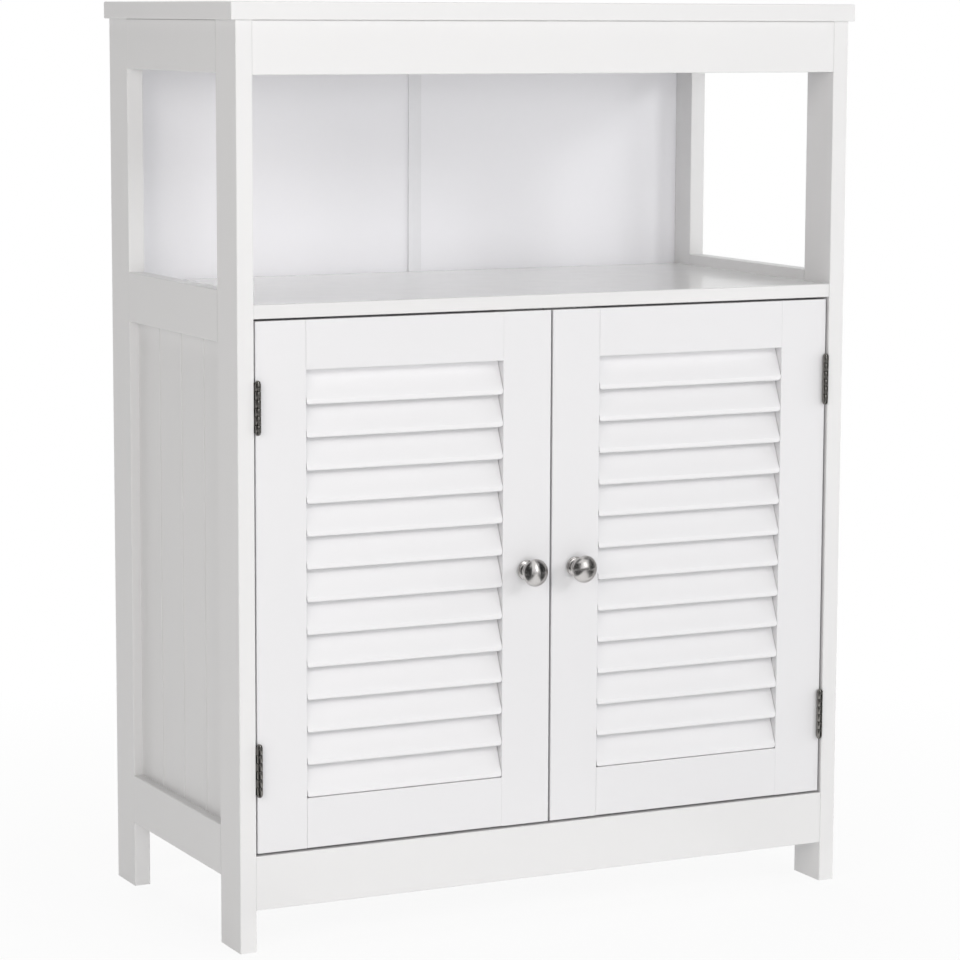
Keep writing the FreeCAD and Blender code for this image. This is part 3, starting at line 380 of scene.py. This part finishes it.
sprayed_white = (0.745, 0.742, 0.742, 1)
white_lacquer, _ = finish_with(
    "satin_white_lacquer", lacquer_skin,
    {"Colour": sprayed_white, "Tone drift": 0.03, "Roughness": 0.3, "Gloss drift": 0.06,
     "Peel scale": 650.0}, bump=0.02)
door_lacquer, _ = finish_with(
    "white_door_lacquer", lacquer_skin,
    {"Colour": (0.745, 0.742, 0.753, 1), "Tone drift": 0.03, "Roughness": 0.3, "Gloss drift": 0.06,
     "Peel scale": 720.0}, bump=0.02)
# Painted light: the slats' white is a paler copy of the door lacquer that they really share, to make them
# brighter.
slat_lacquer, _ = finish_with(
    "white_slat_lacquer", lacquer_skin,
    {"Colour": (0.785, 0.782, 0.793, 1), "Tone drift": 0.02, "Roughness": 0.33, "Gloss drift": 0.02,
     "Peel scale": 720.0}, bump=0.02)
catch_plastic, _ = finish_with(
    "moulded_catch_plastic", lacquer_skin,
    {"Colour": (0.80, 0.80, 0.79, 1), "Tone drift": 0.05, "Roughness": 0.42, "Gloss drift": 0.1,
     "Peel scale": 1800.0}, bump=0.12)
whites = (white_lacquer, door_lacquer, slat_lacquer, catch_plastic)
print("white finishes:", [finish.name for finish in whites])


# %% Counter lacquer
def choose(group, mask, first, second, kind):
    """The first where the mask is zero, the second where it is one."""
    node = add(group, "ShaderNodeMix", data_type=kind)
    group.links.new(mask, node.inputs["Factor"])
    sockets = [socket for socket in node.inputs if socket.enabled and socket.name in ("A", "B")]
    for socket, value in zip(sockets, (first, second)):
        if isinstance(value, (int, float, tuple)):
            socket.default_value = value
        else:
            group.links.new(value, socket)
    return next(socket for socket in node.outputs if socket.enabled)


def part_of(group, source, axis):
    """One coordinate of a place."""
    place = add(group, "ShaderNodeSeparateXYZ")
    group.links.new(source, place.inputs[0])
    return place.outputs[axis]


counter_lacquer, skin = finish_with(
    "rubbed_counter_lacquer", lacquer_skin,
    {"Tone drift": 0.02, "Roughness": 0.15, "Gloss drift": 0.03, "Peel scale": 500.0}, bump=0.01)
tree = counter_lacquer.node_tree
where = add(tree, "ShaderNodeTexCoord").outputs["Object"]
# Painted light: the counter top gets a paler white than the posts, and only its front edge keeps the real
# white.
edge_depth, painted_light_top_white = 1 * mm, (0.89, 0.89, 0.887, 1)
on_edge = combine(tree, "LESS_THAN", part_of(tree, where, "Y"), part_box("counter_board")[0].y + edge_depth)
tree.links.new(choose(tree, on_edge, painted_light_top_white, sprayed_white, "RGBA"), skin.inputs["Colour"])
print("counter finish:", counter_lacquer.name)

# %% [markdown]
# ## Back board and its strip
# The back is two thin hardboards faced with white foil that has a fine linen emboss, and bare brown fibre
# behind. The emboss is a pair of noises drawn out along X and along Z. The bare face is picked by its
# place: it lies in the last third of the panel's depth. The strip between them is extruded plastic, with
# faint lines along its length.


# %% Foil and fibre group
def spread(group, source, low, high):
    """Maps a noise's middle range to a span between two values."""
    node = add(group, "ShaderNodeMapRange", From_Min=0.3, From_Max=0.7, To_Min=low, To_Max=high)
    group.links.new(source, node.inputs["Value"])
    return node.outputs["Result"]


linen_foil, given, made = new_group(
    "linen_foil",
    [("Colour", "Color", white), ("Fibre colour", "Color", white), ("Rear plane", "Float", 0.0)],
    [("Colour", "Color"), ("Roughness", "Float"), ("Height", "Float")],
)
tree = linen_foil
where = add(tree, "ShaderNodeTexCoord").outputs["Object"]
threads = []
for stretch in ((120, 120, 1400), (1400, 120, 120)):
    drawn = add(tree, "ShaderNodeMapping", Scale=stretch)
    tree.links.new(where, drawn.inputs["Vector"])
    threads.append(noise(tree, drawn.outputs["Vector"], 1.0, 1.0))
linen = combine(tree, "MULTIPLY", threads[0], threads[1])
drift = noise(tree, where, 4.0, 2.0)
tone = combine(tree, "MULTIPLY", spread(tree, linen, 0.985, 1.0), spread(tree, drift, 0.985, 1.01))
fibre = noise(tree, where, 420.0, 6.0, 0.75)
flecks = noise(tree, where, 60.0, 3.0)
bare_tone = combine(tree, "MULTIPLY", spread(tree, fibre, 0.7, 1.25), spread(tree, flecks, 0.9, 1.1))
bare = combine(tree, "GREATER_THAN", part_of(tree, where, "Y"), given.outputs["Rear plane"])
faced = toned(tree, given.outputs["Colour"], tone)
raw = toned(tree, given.outputs["Fibre colour"], bare_tone)
tree.links.new(choose(tree, bare, faced, raw, "RGBA"), made.inputs["Colour"])
tree.links.new(choose(tree, bare, spread(tree, linen, 0.36, 0.44), 0.85, "FLOAT"), made.inputs["Roughness"])
tree.links.new(choose(tree, bare, linen, fibre, "FLOAT"), made.inputs["Height"])
panel_low, panel_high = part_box("left_back_panel")
back_board, _ = finish_with(
    "foiled_hardboard", linen_foil,
    {"Colour": (0.88, 0.877, 0.903, 1), "Fibre colour": (0.40, 0.28, 0.175, 1),
     "Rear plane": (panel_low.y + 2 * panel_high.y) / 3}, bump=0.12)


def worked_finish(name, values, stretch, turn=(0, 0, 0), bump=0.05, **constants):
    """A finish with fine marks, in a pattern that is turned and then drawn out where its scale is least."""
    material, skin = finish_with(name, worked_metal, values, bump, **constants)
    tree = material.node_tree
    drawn = add(tree, "ShaderNodeMapping", Rotation=turn, Scale=stretch)
    tree.links.new(add(tree, "ShaderNodeTexCoord").outputs["Object"], drawn.inputs["Vector"])
    tree.links.new(drawn.outputs["Vector"], skin.inputs["Vector"])
    return material


strip_plastic = worked_finish(
    "extruded_strip_plastic",
    {"Colour": (0.80, 0.80, 0.82, 1), "Roughness": 0.38, "Line depth": 0.06, "Cloud": 0.03}, (2500, 2500, 12))
print("back and strip:", back_board.name, strip_plastic.name)

# %% [markdown]
# ## Metals, beech and ferrite
# The hinges and their pins are nickel-plated, drawn along the barrel, so their lines run up and down. Their
# nickel is painted much darker than bare nickel, as painted shade, and hinges and knobs get darker rims, also
# painted shade. The knobs were brushed one way, which draws a highlight out across the brushing, and each was
# screwed on at its own turn: the left one shows an upright band of light, the right one a band that lies
# almost level. So they are two finishes that differ by an angle. Screws, strike plates and shelf pins are
# zinc plated and cloudy. The dowels are plain beech, and the catches' magnets are dull, grainy ferrite.

# %% Nickel and zinc
# Painted shade: a dark tint at grazing angles draws black rims on the hinge barrels and knobs.
painted_dark_rim_tint = (0.35, 0.34, 0.33, 1)
# Painted shade: the hinge nickel is much darker than bare nickel, standing in for the shade in the gap
# between door and post.
hinge_nickel = worked_finish(
    "drawn_hinge_nickel_painted_shade",
    {"Colour": (0.27, 0.26, 0.245, 1), "Roughness": 0.22, "Line depth": 0.12, "Cloud": 0.2}, (4000, 4000, 60),
    Metallic=1.0, Specular_Tint=painted_dark_rim_tint)
zinc_steel = worked_finish(
    "zinc_plated_steel",
    {"Colour": (0.56, 0.575, 0.59, 1), "Roughness": 0.34, "Line depth": 0.06, "Cloud": 0.35}, (900, 900, 900),
    bump=0.06, Metallic=1.0)


def knob_finish(name, brushing):
    """Nickel brushed at an angle up from level, in degrees."""
    material = worked_finish(
        name, {"Colour": (0.64, 0.622, 0.61, 1), "Roughness": 0.24, "Line depth": 0.1, "Cloud": 0.06},
        (90, 90, 5200), (0, math.radians(brushing), 0), bump=0.03, Metallic=1.0, Anisotropic=0.9,
        Anisotropic_Rotation=(brushing + 90) / 360, Specular_Tint=painted_dark_rim_tint)
    tree = material.node_tree
    level = add(tree, "ShaderNodeTangent", direction_type="RADIAL", axis="Z")
    tree.links.new(level.outputs["Tangent"], tree.nodes["Principled BSDF"].inputs["Tangent"])
    return material


left_knob_nickel = knob_finish("level_brushed_nickel", 0)
right_knob_nickel = knob_finish("steep_brushed_nickel", 110)
metals = (hinge_nickel, zinc_steel, left_knob_nickel, right_knob_nickel)
print("metal finishes:", [finish.name for finish in metals])

# %% Beech and ferrite
beech = worked_finish(
    "bare_beech",
    {"Colour": (0.60, 0.41, 0.255, 1), "Roughness": 0.62, "Line depth": 0.5, "Cloud": 0.2}, (90, 1500, 1500),
    bump=0.25)
magnet = worked_finish(
    "black_ferrite",
    {"Colour": (0.045, 0.045, 0.05, 1), "Roughness": 0.55, "Line depth": 0.4, "Cloud": 0.5},
    (2600, 2600, 2600), bump=0.2)
print("dowels and magnets:", beech.name, magnet.name)

# %% [markdown]
# ## Dress the boards
# Every board, post, rail and slat already has its right shape, with eased edges and real joints, so it
# keeps its mesh and only gets its finish. The record says which finish each piece has. Counter, slats and
# knobs have their own.

# %% Give each piece its finish
finishes = {
    "white_lacquer": white_lacquer, "door_lacquer": door_lacquer, "back_board": back_board,
    "strip_plastic": strip_plastic, "catch_plastic": catch_plastic, "magnet": magnet,
    "hinge_nickel": hinge_nickel, "zinc_steel": zinc_steel, "beech": beech,
}
special = {
    "counter_board": counter_lacquer, "left_knob": left_knob_nickel, "right_knob": right_knob_nickel,
    "left_door_slats": slat_lacquer, "right_door_slats": slat_lacquer,
}
slots = {entry["node"]: entry["material_slot"] for entry in frame["record"]["subparts"]}


def dress(piece, node):
    """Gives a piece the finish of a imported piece, and nothing else."""
    piece.data.materials.clear()
    piece.data.materials.append(special[node] if node in special else finishes[slots[node]])


for name, node in frame["nodes"].items():
    dress(node, name)
worn = {node.data.materials[0].name for node in frame["nodes"].values()}
print("dressed:", len(slots), "pieces in", len(worn), "finishes")

# %% [markdown]
# ## Knobs
# A furniture knob is turned from bar: a flat foot against the door, a cove up to a slim neck, and a
# mushroom head with a domed face. The same way works here. A disc is pushed out along the axis ring by
# ring, each ring set to its own radius, as a lathe tool would follow the outline. The dome is part of a
# ball, so its rings come from the circle.


# %% Lathe
flute_share = 0.92


def lathe(place, aim, rings, sides=64, flutes=False):
    """Turns a piece along the aim. Rings are pairs of radius and height over the place, in millimetres."""
    start = place + aim * rings[0][1] * mm
    bpy.ops.object.select_all(action="DESELECT")
    bpy.ops.mesh.primitive_circle_add(
        vertices=sides, radius=rings[0][0] * mm, fill_type="NGON", location=start,
        rotation=aim.to_track_quat("Z", "Y").to_euler())
    piece = bpy.context.object
    bpy.ops.object.mode_set(mode="EDIT")
    if flutes:
        bpy.ops.mesh.select_all(action="SELECT")
        bpy.ops.mesh.select_nth(skip=1, nth=1, offset=0)
        bpy.ops.transform.resize(value=[flute_share] * 3, center_override=start)
    bpy.ops.mesh.select_all(action="SELECT")
    for (wide, low), (next_wide, high) in zip(rings, rings[1:]):
        bpy.ops.mesh.extrude_region_move(TRANSFORM_OT_translate={"value": aim * (high - low) * mm})
        if next_wide:
            bpy.ops.transform.resize(value=[next_wide / wide] * 3, center_override=place + aim * high * mm)
        else:
            bpy.ops.mesh.merge(type="COLLAPSE")
    bpy.ops.mesh.select_all(action="SELECT")
    bpy.ops.mesh.normals_make_consistent(inside=False)
    bpy.ops.object.mode_set(mode="OBJECT")
    bpy.ops.object.transform_apply(location=True, rotation=True, scale=True)
    return piece


def settle(piece, name, body, *nodes, smooth=35):
    """Finishes a piece: smooth where it is round, its finish, its body, and the pieces that it stands for."""
    bpy.ops.object.select_all(action="DESELECT")
    piece.select_set(True)
    bpy.context.view_layer.objects.active = piece
    bpy.ops.object.transform_apply(location=True, rotation=True, scale=True)
    bpy.ops.object.shade_smooth_by_angle(angle=math.radians(smooth))
    piece.name = name
    piece.data.name = name
    dress(piece, nodes[0])
    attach(piece, body)
    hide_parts(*nodes)
    print(name, "rides on", body, "with", len(piece.data.polygons), "faces")


print("lathe is set: a fluted piece is sunk to", flute_share, "of its radius")

# %% Turn the knobs
foot = [(8.1, 0), (8.55, 0.15), (8.7, 0.5), (8.7, 1.4), (8.55, 1.75), (8.2, 1.9), (7.5, 1.95)]
cove = [(6.7, 2.3), (6.0, 2.9), (5.5, 3.7), (5.25, 4.6), (5.2, 5.4), (5.2, 9.6)]
under = [
    (5.35, 10.6), (5.9, 11.9), (6.9, 13.3), (8.2, 14.5),
    (9.6, 15.6), (10.9, 16.6), (11.7, 17.3), (11.95, 17.7),
]
ball, ball_centre, rim_tilt, dome_steps = 13.79, 11.21, 60, 14
tilts = [math.radians(rim_tilt - rim_tilt * step / dome_steps) for step in range(dome_steps)]
dome = [(ball * math.sin(tilt), ball_centre + ball * math.cos(tilt)) for tilt in tilts]
dome.append((0, ball_centre + ball))
for side in ("left", "right"):
    low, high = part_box(side + "_knob")
    root = Vector(((low.x + high.x) / 2, high.y, (low.z + high.z) / 2))
    knob = lathe(root, Vector((0, -1, 0)), foot + cove + under + dome)
    settle(knob, side + "_turned_knob", side + "_door", side + "_knob")

# %% [markdown]
# ## Hinges
# A butt hinge is two stamped strips, each rolled into knuckles along one edge, with a pin through them all.
# Here the strip is a thin block, cut across where the knuckles start and end, and the spots between are
# pulled out to carry the knuckles. A knuckle is a short bored tube with rounded rims. One leaf of each kind
# is made at the lower left, with its screw holes sunk, and the other places get copies, mirrored on the
# right.


# %% Select by place
import bmesh

square_on = 0.9


def pick(piece, kind, test):
    """In edit mode, selects the faces or edges that pass a test on their middle and normal or direction."""
    mesh = bmesh.from_edit_mesh(piece.data)
    bpy.ops.mesh.select_all(action="DESELECT")
    bpy.ops.mesh.select_mode(type=kind)
    mesh.normal_update()
    for item in list(mesh.faces if kind == "FACE" else mesh.edges):
        ends = [piece.matrix_world @ corner.co for corner in item.verts]
        middle = sum(ends, Vector()) / len(ends)
        facing = item.normal if kind == "FACE" else (ends[1] - ends[0]).normalized()
        if test(middle, facing):
            item.select_set(True)
    bmesh.update_edit_mesh(piece.data)


def start_edit(piece):
    """Makes a piece the only one selected and opens it for shaping."""
    bpy.ops.object.select_all(action="DESELECT")
    piece.select_set(True)
    bpy.context.view_layer.objects.active = piece
    bpy.ops.object.mode_set(mode="EDIT")
    bpy.ops.mesh.select_all(action="SELECT")


def apply_boolean(piece, tool, operation):
    """Joins a tool to a piece or cuts it away, and removes the tool."""
    bpy.ops.object.select_all(action="DESELECT")
    piece.select_set(True)
    bpy.context.view_layer.objects.active = piece
    modifier = piece.modifiers.new("shape", "BOOLEAN")
    modifier.operation = operation
    modifier.solver = "EXACT"
    modifier.object = tool
    bpy.ops.object.modifier_apply(modifier=modifier.name)
    bpy.data.objects.remove(tool, do_unlink=True)


print("a face counts as square to an axis within", round(math.degrees(math.acos(square_on))), "degrees")

# %% One knuckle and one leaf
barrel, bore, slack, rim_round, knuckles = 2.6 * mm, 1.25 * mm, 0.2 * mm, 0.5 * mm, 6
screw_sink = [(1.4, -2.0), (1.4, -1.15), (2.5, -0.05), (2.5, 0.6)]
thick, wide, screw_inset, screw_back = 0.9 * mm, 12 * mm, 10 * mm, 5.5 * mm
pin_low, pin_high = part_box("left_hinge_pins")
axis_x, axis_y = (pin_low.x + pin_high.x) / 2, (pin_low.y + pin_high.y) / 2
leaf_low, leaf_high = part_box("left_lower_door_leaf")
leaf_length = leaf_high.z - leaf_low.z
pitch = leaf_length / knuckles
screw_lifts = (screw_inset, leaf_length - screw_inset)
frame_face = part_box("left_front_post")[1].x + thick
door_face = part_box("left_hinge_stile")[0].x - thick
print("hinge axis in mm:", round(axis_x / mm, 2), round(axis_y / mm, 2))
print("leaf length in mm:", round(leaf_length / mm, 1))


def knuckle(place):
    """A bored tube with rounded rims, upright at a place."""
    bpy.ops.object.select_all(action="DESELECT")
    bpy.ops.mesh.primitive_cylinder_add(vertices=40, radius=barrel, depth=pitch - slack, location=place)
    tube = bpy.context.object
    start_edit(tube)
    pick(tube, "FACE", lambda middle, facing: abs(facing.z) > square_on)
    bpy.ops.mesh.inset(thickness=barrel - bore, use_individual=True)
    bpy.ops.mesh.bridge_edge_loops()
    half, outer_share, hair = (pitch - slack) / 2, 0.95, 0.02 * mm

    def on_rim(middle, direction):
        at_end = abs(abs(middle.z - place.z) - half) < hair
        outside = (middle - place).xy.length > barrel * outer_share
        return at_end and outside and abs(direction.z) < 1 - square_on

    pick(tube, "EDGE", on_rim)
    bpy.ops.mesh.bevel(offset=rim_round, segments=3)
    bpy.ops.object.mode_set(mode="OBJECT")
    return tube


def leaf(node, first, inner_x, facing_x):
    """A hinge leaf with every second knuckle, and two screw holes sunk from the side that it shows."""
    low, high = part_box(node)
    middle = Vector((inner_x - facing_x * thick / 2, high.y - wide / 2, (low.z + high.z) / 2))
    bpy.ops.object.select_all(action="DESELECT")
    bpy.ops.mesh.primitive_cube_add(size=1, location=middle)
    plate = bpy.context.object
    plate.scale = (thick, wide, high.z - low.z)
    bpy.ops.object.transform_apply(location=True, rotation=True, scale=True)
    start_edit(plate)
    for number in range(1, knuckles):
        bpy.ops.mesh.select_all(action="SELECT")
        bpy.ops.mesh.bisect(plane_co=(0, 0, low.z + number * pitch), plane_no=(0, 0, 1))

    def carries_knuckle(spot, facing):
        return facing.y < -square_on and int((spot.z - low.z) / pitch) % 2 == first

    pick(plate, "FACE", carries_knuckle)
    bpy.ops.mesh.extrude_region_move(TRANSFORM_OT_translate={"value": (0, axis_y - (high.y - wide), 0)})
    bpy.ops.object.mode_set(mode="OBJECT")
    for number in range(first, knuckles, 2):
        apply_boolean(plate, knuckle(Vector((axis_x, axis_y, low.z + (number + 0.5) * pitch))), "UNION")
    for lift in screw_lifts:
        mouth = Vector((inner_x, high.y - screw_back, low.z + lift))
        sink = lathe(mouth, Vector((facing_x, 0, 0)), screw_sink, sides=32)
        apply_boolean(plate, sink, "DIFFERENCE")
    return plate


door_leaf = leaf("left_lower_door_leaf", 0, door_face, -1)
frame_leaf = leaf("left_lower_frame_leaf", 1, frame_face, 1)


# %% Copy the leaves to their places
def copy_of(piece, shift=(0, 0, 0), mirror=False):
    """A copy with its own mesh, moved, and mirrored across the cabinet's middle where asked."""
    bpy.ops.object.select_all(action="DESELECT")
    piece.select_set(True)
    bpy.context.view_layer.objects.active = piece
    bpy.ops.object.duplicate(linked=False)
    twin = bpy.context.object
    twin.location += Vector(shift)
    if mirror:
        twin.scale.x = -1
        bpy.ops.object.transform_apply(location=True, rotation=True, scale=True)
        start_edit(twin)
        bpy.ops.mesh.normals_make_consistent(inside=False)
        bpy.ops.object.mode_set(mode="OBJECT")
    return twin


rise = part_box("left_upper_door_leaf")[0].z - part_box("left_lower_door_leaf")[0].z
for master, kind in ((door_leaf, "door_leaf"), (frame_leaf, "frame_leaf")):
    for side in ("left", "right"):
        for level, shift in (("lower", 0), ("upper", rise)):
            node = f"{side}_{level}_{kind}"
            body = side + "_door" if kind == "door_leaf" else "carcass"
            twin = copy_of(master, (0, 0, shift), side == "right")
            settle(twin, node.replace("leaf", "hinge_leaf"), body, node, smooth=20)
    bpy.data.objects.remove(master, do_unlink=True)

# %% [markdown]
# The pin is a plain wire with a domed cap riveted on at each end. Both pins of a door hang on the posts'
# leaves, so they stay still. The two of one side are joined into one piece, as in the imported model.


# %% Hinge pins
def joined(pieces):
    """Several pieces as one."""
    bpy.ops.object.select_all(action="DESELECT")
    for piece in pieces:
        piece.select_set(True)
    bpy.context.view_layer.objects.active = pieces[0]
    if len(pieces) > 1:
        bpy.ops.object.join()
    return pieces[0]


up = Vector((0, 0, 1))
cap_radius, cap_height, wire_radius = 2.3, 2.2, 1.2
cap_tilts = [math.radians(degrees) for degrees in (3, 20, 40, 60, 75, 90)]
cap_curve = [(cap_radius * math.sin(tilt), -cap_height * math.cos(tilt)) for tilt in cap_tilts]
cap_low = cap_curve + [(wire_radius, 0)]
cap_high = [(wide_mm, leaf_length / mm - high_mm) for wide_mm, high_mm in reversed(cap_low)]
leaf_feet = [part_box(f"left_{level}_door_leaf")[0].z for level in ("lower", "upper")]
for side, sign in (("left", 1), ("right", -1)):
    spots = [Vector((sign * axis_x, axis_y, foot_z)) for foot_z in leaf_feet]
    pins = [lathe(spot, up, cap_low + cap_high, sides=32) for spot in spots]
    settle(joined(pins), side + "_capped_pins", "carcass", side + "_hinge_pins")

# %% [markdown]
# ## Screws, pins and dowels
# All the small screws are one kind: countersunk, with a cross recess in the head. One is turned at the
# origin, its recess is cut with two tapered blades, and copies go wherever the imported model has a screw.
# The knob screws have a larger rounded head. Shelf pins are turned with a collar. The dowels are fluted, so
# that glue can spread.


# %% One countersunk screw
def cross_recess(head, across, slit, depth):
    """Cuts a cross into a head that faces up, with two blades that taper downward. Sizes in millimetres."""
    taper = (0.3, 0.8, 1)
    for turn in (0, math.pi / 2):
        bpy.ops.object.select_all(action="DESELECT")
        bpy.ops.mesh.primitive_cube_add(size=1, location=(0, 0, 0))
        blade = bpy.context.object
        blade.scale = (across * mm, slit * mm, 2 * depth * mm)
        bpy.ops.object.transform_apply(location=True, rotation=True, scale=True)
        start_edit(blade)
        pick(blade, "FACE", lambda middle, facing: facing.z < -square_on)
        bpy.ops.transform.resize(value=taper, center_override=(0, 0, -depth * mm))
        bpy.ops.object.mode_set(mode="OBJECT")
        blade.rotation_euler.z = turn
        apply_boolean(head, blade, "DIFFERENCE")


origin, head_radius = Vector((0, 0, 0)), 2.4
shank = [(0.25, -11), (1.0, -10.1), (1.3, -9.6), (1.3, -1.1), (2.3, -0.1), (head_radius, 0)]
screw = lathe(origin, up, shank, sides=32)
cross_recess(screw, across=2.7, slit=0.62, depth=1.25)
print("screw with its cross:", len(screw.data.polygons), "faces")


# %% Put the screws in
def screws_at(master, places):
    """Copies of a screw at places, each with the way its head faces, joined into one piece."""
    twins = []
    for place, facing in places:
        twin = copy_of(master, place)
        twin.rotation_euler = Vector(facing).to_track_quat("Z", "Y").to_euler()
        twins.append(twin)
    return joined(twins)


hinge_y = leaf_high.y - screw_back
lifts = [foot_z + lift for foot_z in leaf_feet for lift in screw_lifts]
frame_places = [((sign * frame_face, hinge_y, lift), (sign, 0, 0)) for sign in (1, -1) for lift in lifts]
settle(screws_at(screw, frame_places), "post_hinge_screws", "carcass", "frame_leaf_screws")
for side, sign in (("left", 1), ("right", -1)):
    places = [((sign * door_face, hinge_y, lift), (-sign, 0, 0)) for lift in lifts]
    settle(screws_at(screw, places), side + "_door_hinge_screws", side + "_door", side + "_door_leaf_screws")
    low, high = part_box(side + "_strike_screw")
    place = ((low.x + high.x) / 2, high.y, (low.z + high.z) / 2)
    strike_screw = screws_at(screw, [(place, (0, 1, 0))])
    settle(strike_screw, side + "_strike_plate_screw", side + "_door", side + "_strike_screw")
low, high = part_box("catch_screws")
catch_spacing = 37 * mm
catch_y, outer_x = (low.y + high.y) / 2, high.x - head_radius * mm
catch_row = (outer_x, outer_x - catch_spacing)
places = [((sign * x, catch_y, low.z), (0, 0, -1)) for sign in (1, -1) for x in catch_row]
settle(screws_at(screw, places), "catch_fixing_screws", "carcass", "catch_screws")
bpy.data.objects.remove(screw, do_unlink=True)

# %% Knob screws
bolt_radius, head_height, bolt_chamfer = 2.0, 2.4, 0.4
head = [(3.6, -head_height), (4.0, -2.2), (4.0, -1.2), (3.7, -0.6), (3.0, -0.15), (2.2, 0)]
for side in ("left", "right"):
    low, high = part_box(side + "_knob_screw")
    reach = (high.y - low.y) / mm
    bolt = [(1.6, -reach), (bolt_radius, bolt_chamfer - reach), (bolt_radius, -head_height)]
    machine_screw = lathe(origin, up, bolt + head, sides=40)
    cross_recess(machine_screw, across=4.2, slit=0.9, depth=1.6)
    machine_screw.location = ((low.x + high.x) / 2, high.y, (low.z + high.z) / 2)
    machine_screw.rotation_euler = Vector((0, 1, 0)).to_track_quat("Z", "Y").to_euler()
    settle(machine_screw, side + "_knob_fixing_screw", side + "_door", side + "_knob_screw")

# %% Shelf pins
low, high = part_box("shelf_pins")
collar, half_length = 4, 8
stub = [(2.0, -half_length), (2.4, -7.7), (2.5, -7.2), (2.5, 0)]
ring = [(3.7, 0), (collar, 0.25), (collar, 0.95), (3.7, 1.2), (2.5, 1.2)]
tip = [(2.5, 7.0), (2.3, 7.6), (1.8, half_length)]
pins = []
for sign in (1, -1):
    for y in (low.y + collar * mm, high.y - collar * mm):
        spot = Vector((sign * (high.x - half_length * mm), y, (low.z + high.z) / 2))
        pins.append(lathe(spot, Vector((-sign, 0, 0)), stub + ring + tip, sides=32))
settle(joined(pins), "turned_shelf_pins", "carcass", "shelf_pins")

# %% Fluted dowels
fluted = [(2.3, -15), (3.0, -13.8), (3.0, 13.8), (2.3, 15)]
front_row, rear_row, face_row = -114.15, 136.85, -129.15
counter_height, floor_height, top_height = 545, 77, 780
apron_heights, plinth_heights = [752, 773], [48, 71]
board_joint, post_middle = 275, 287.5
across = [(y, z) for z in (counter_height, floor_height) for y in (front_row, rear_row)]
across += [(face_row, z) for z in apron_heights + plinth_heights]
level = [(sign * board_joint, y, z) for sign in (1, -1) for y, z in across]
upright = [(sign * post_middle, y, top_height) for sign in (1, -1) for y in (front_row, rear_row)]
along = Vector((1, 0, 0))
dowels = [lathe(Vector(spot) * mm, along, fluted, sides=36, flutes=True) for spot in level]
dowels += [lathe(Vector(spot) * mm, up, fluted, sides=36, flutes=True) for spot in upright]
settle(joined(dowels), "fluted_dowels", "carcass", "dowels")

# %% [markdown]
# ## The box at the end
# Each new piece was made in the place of the one that it stands for, so the whole box must be as it was at
# the start.

# %% Compare the boxes
low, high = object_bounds()
grown = max(max(cad_low - low), max(high - cad_high))
print("most that any side of the box grew, in mm:", round(grown / mm, 3))
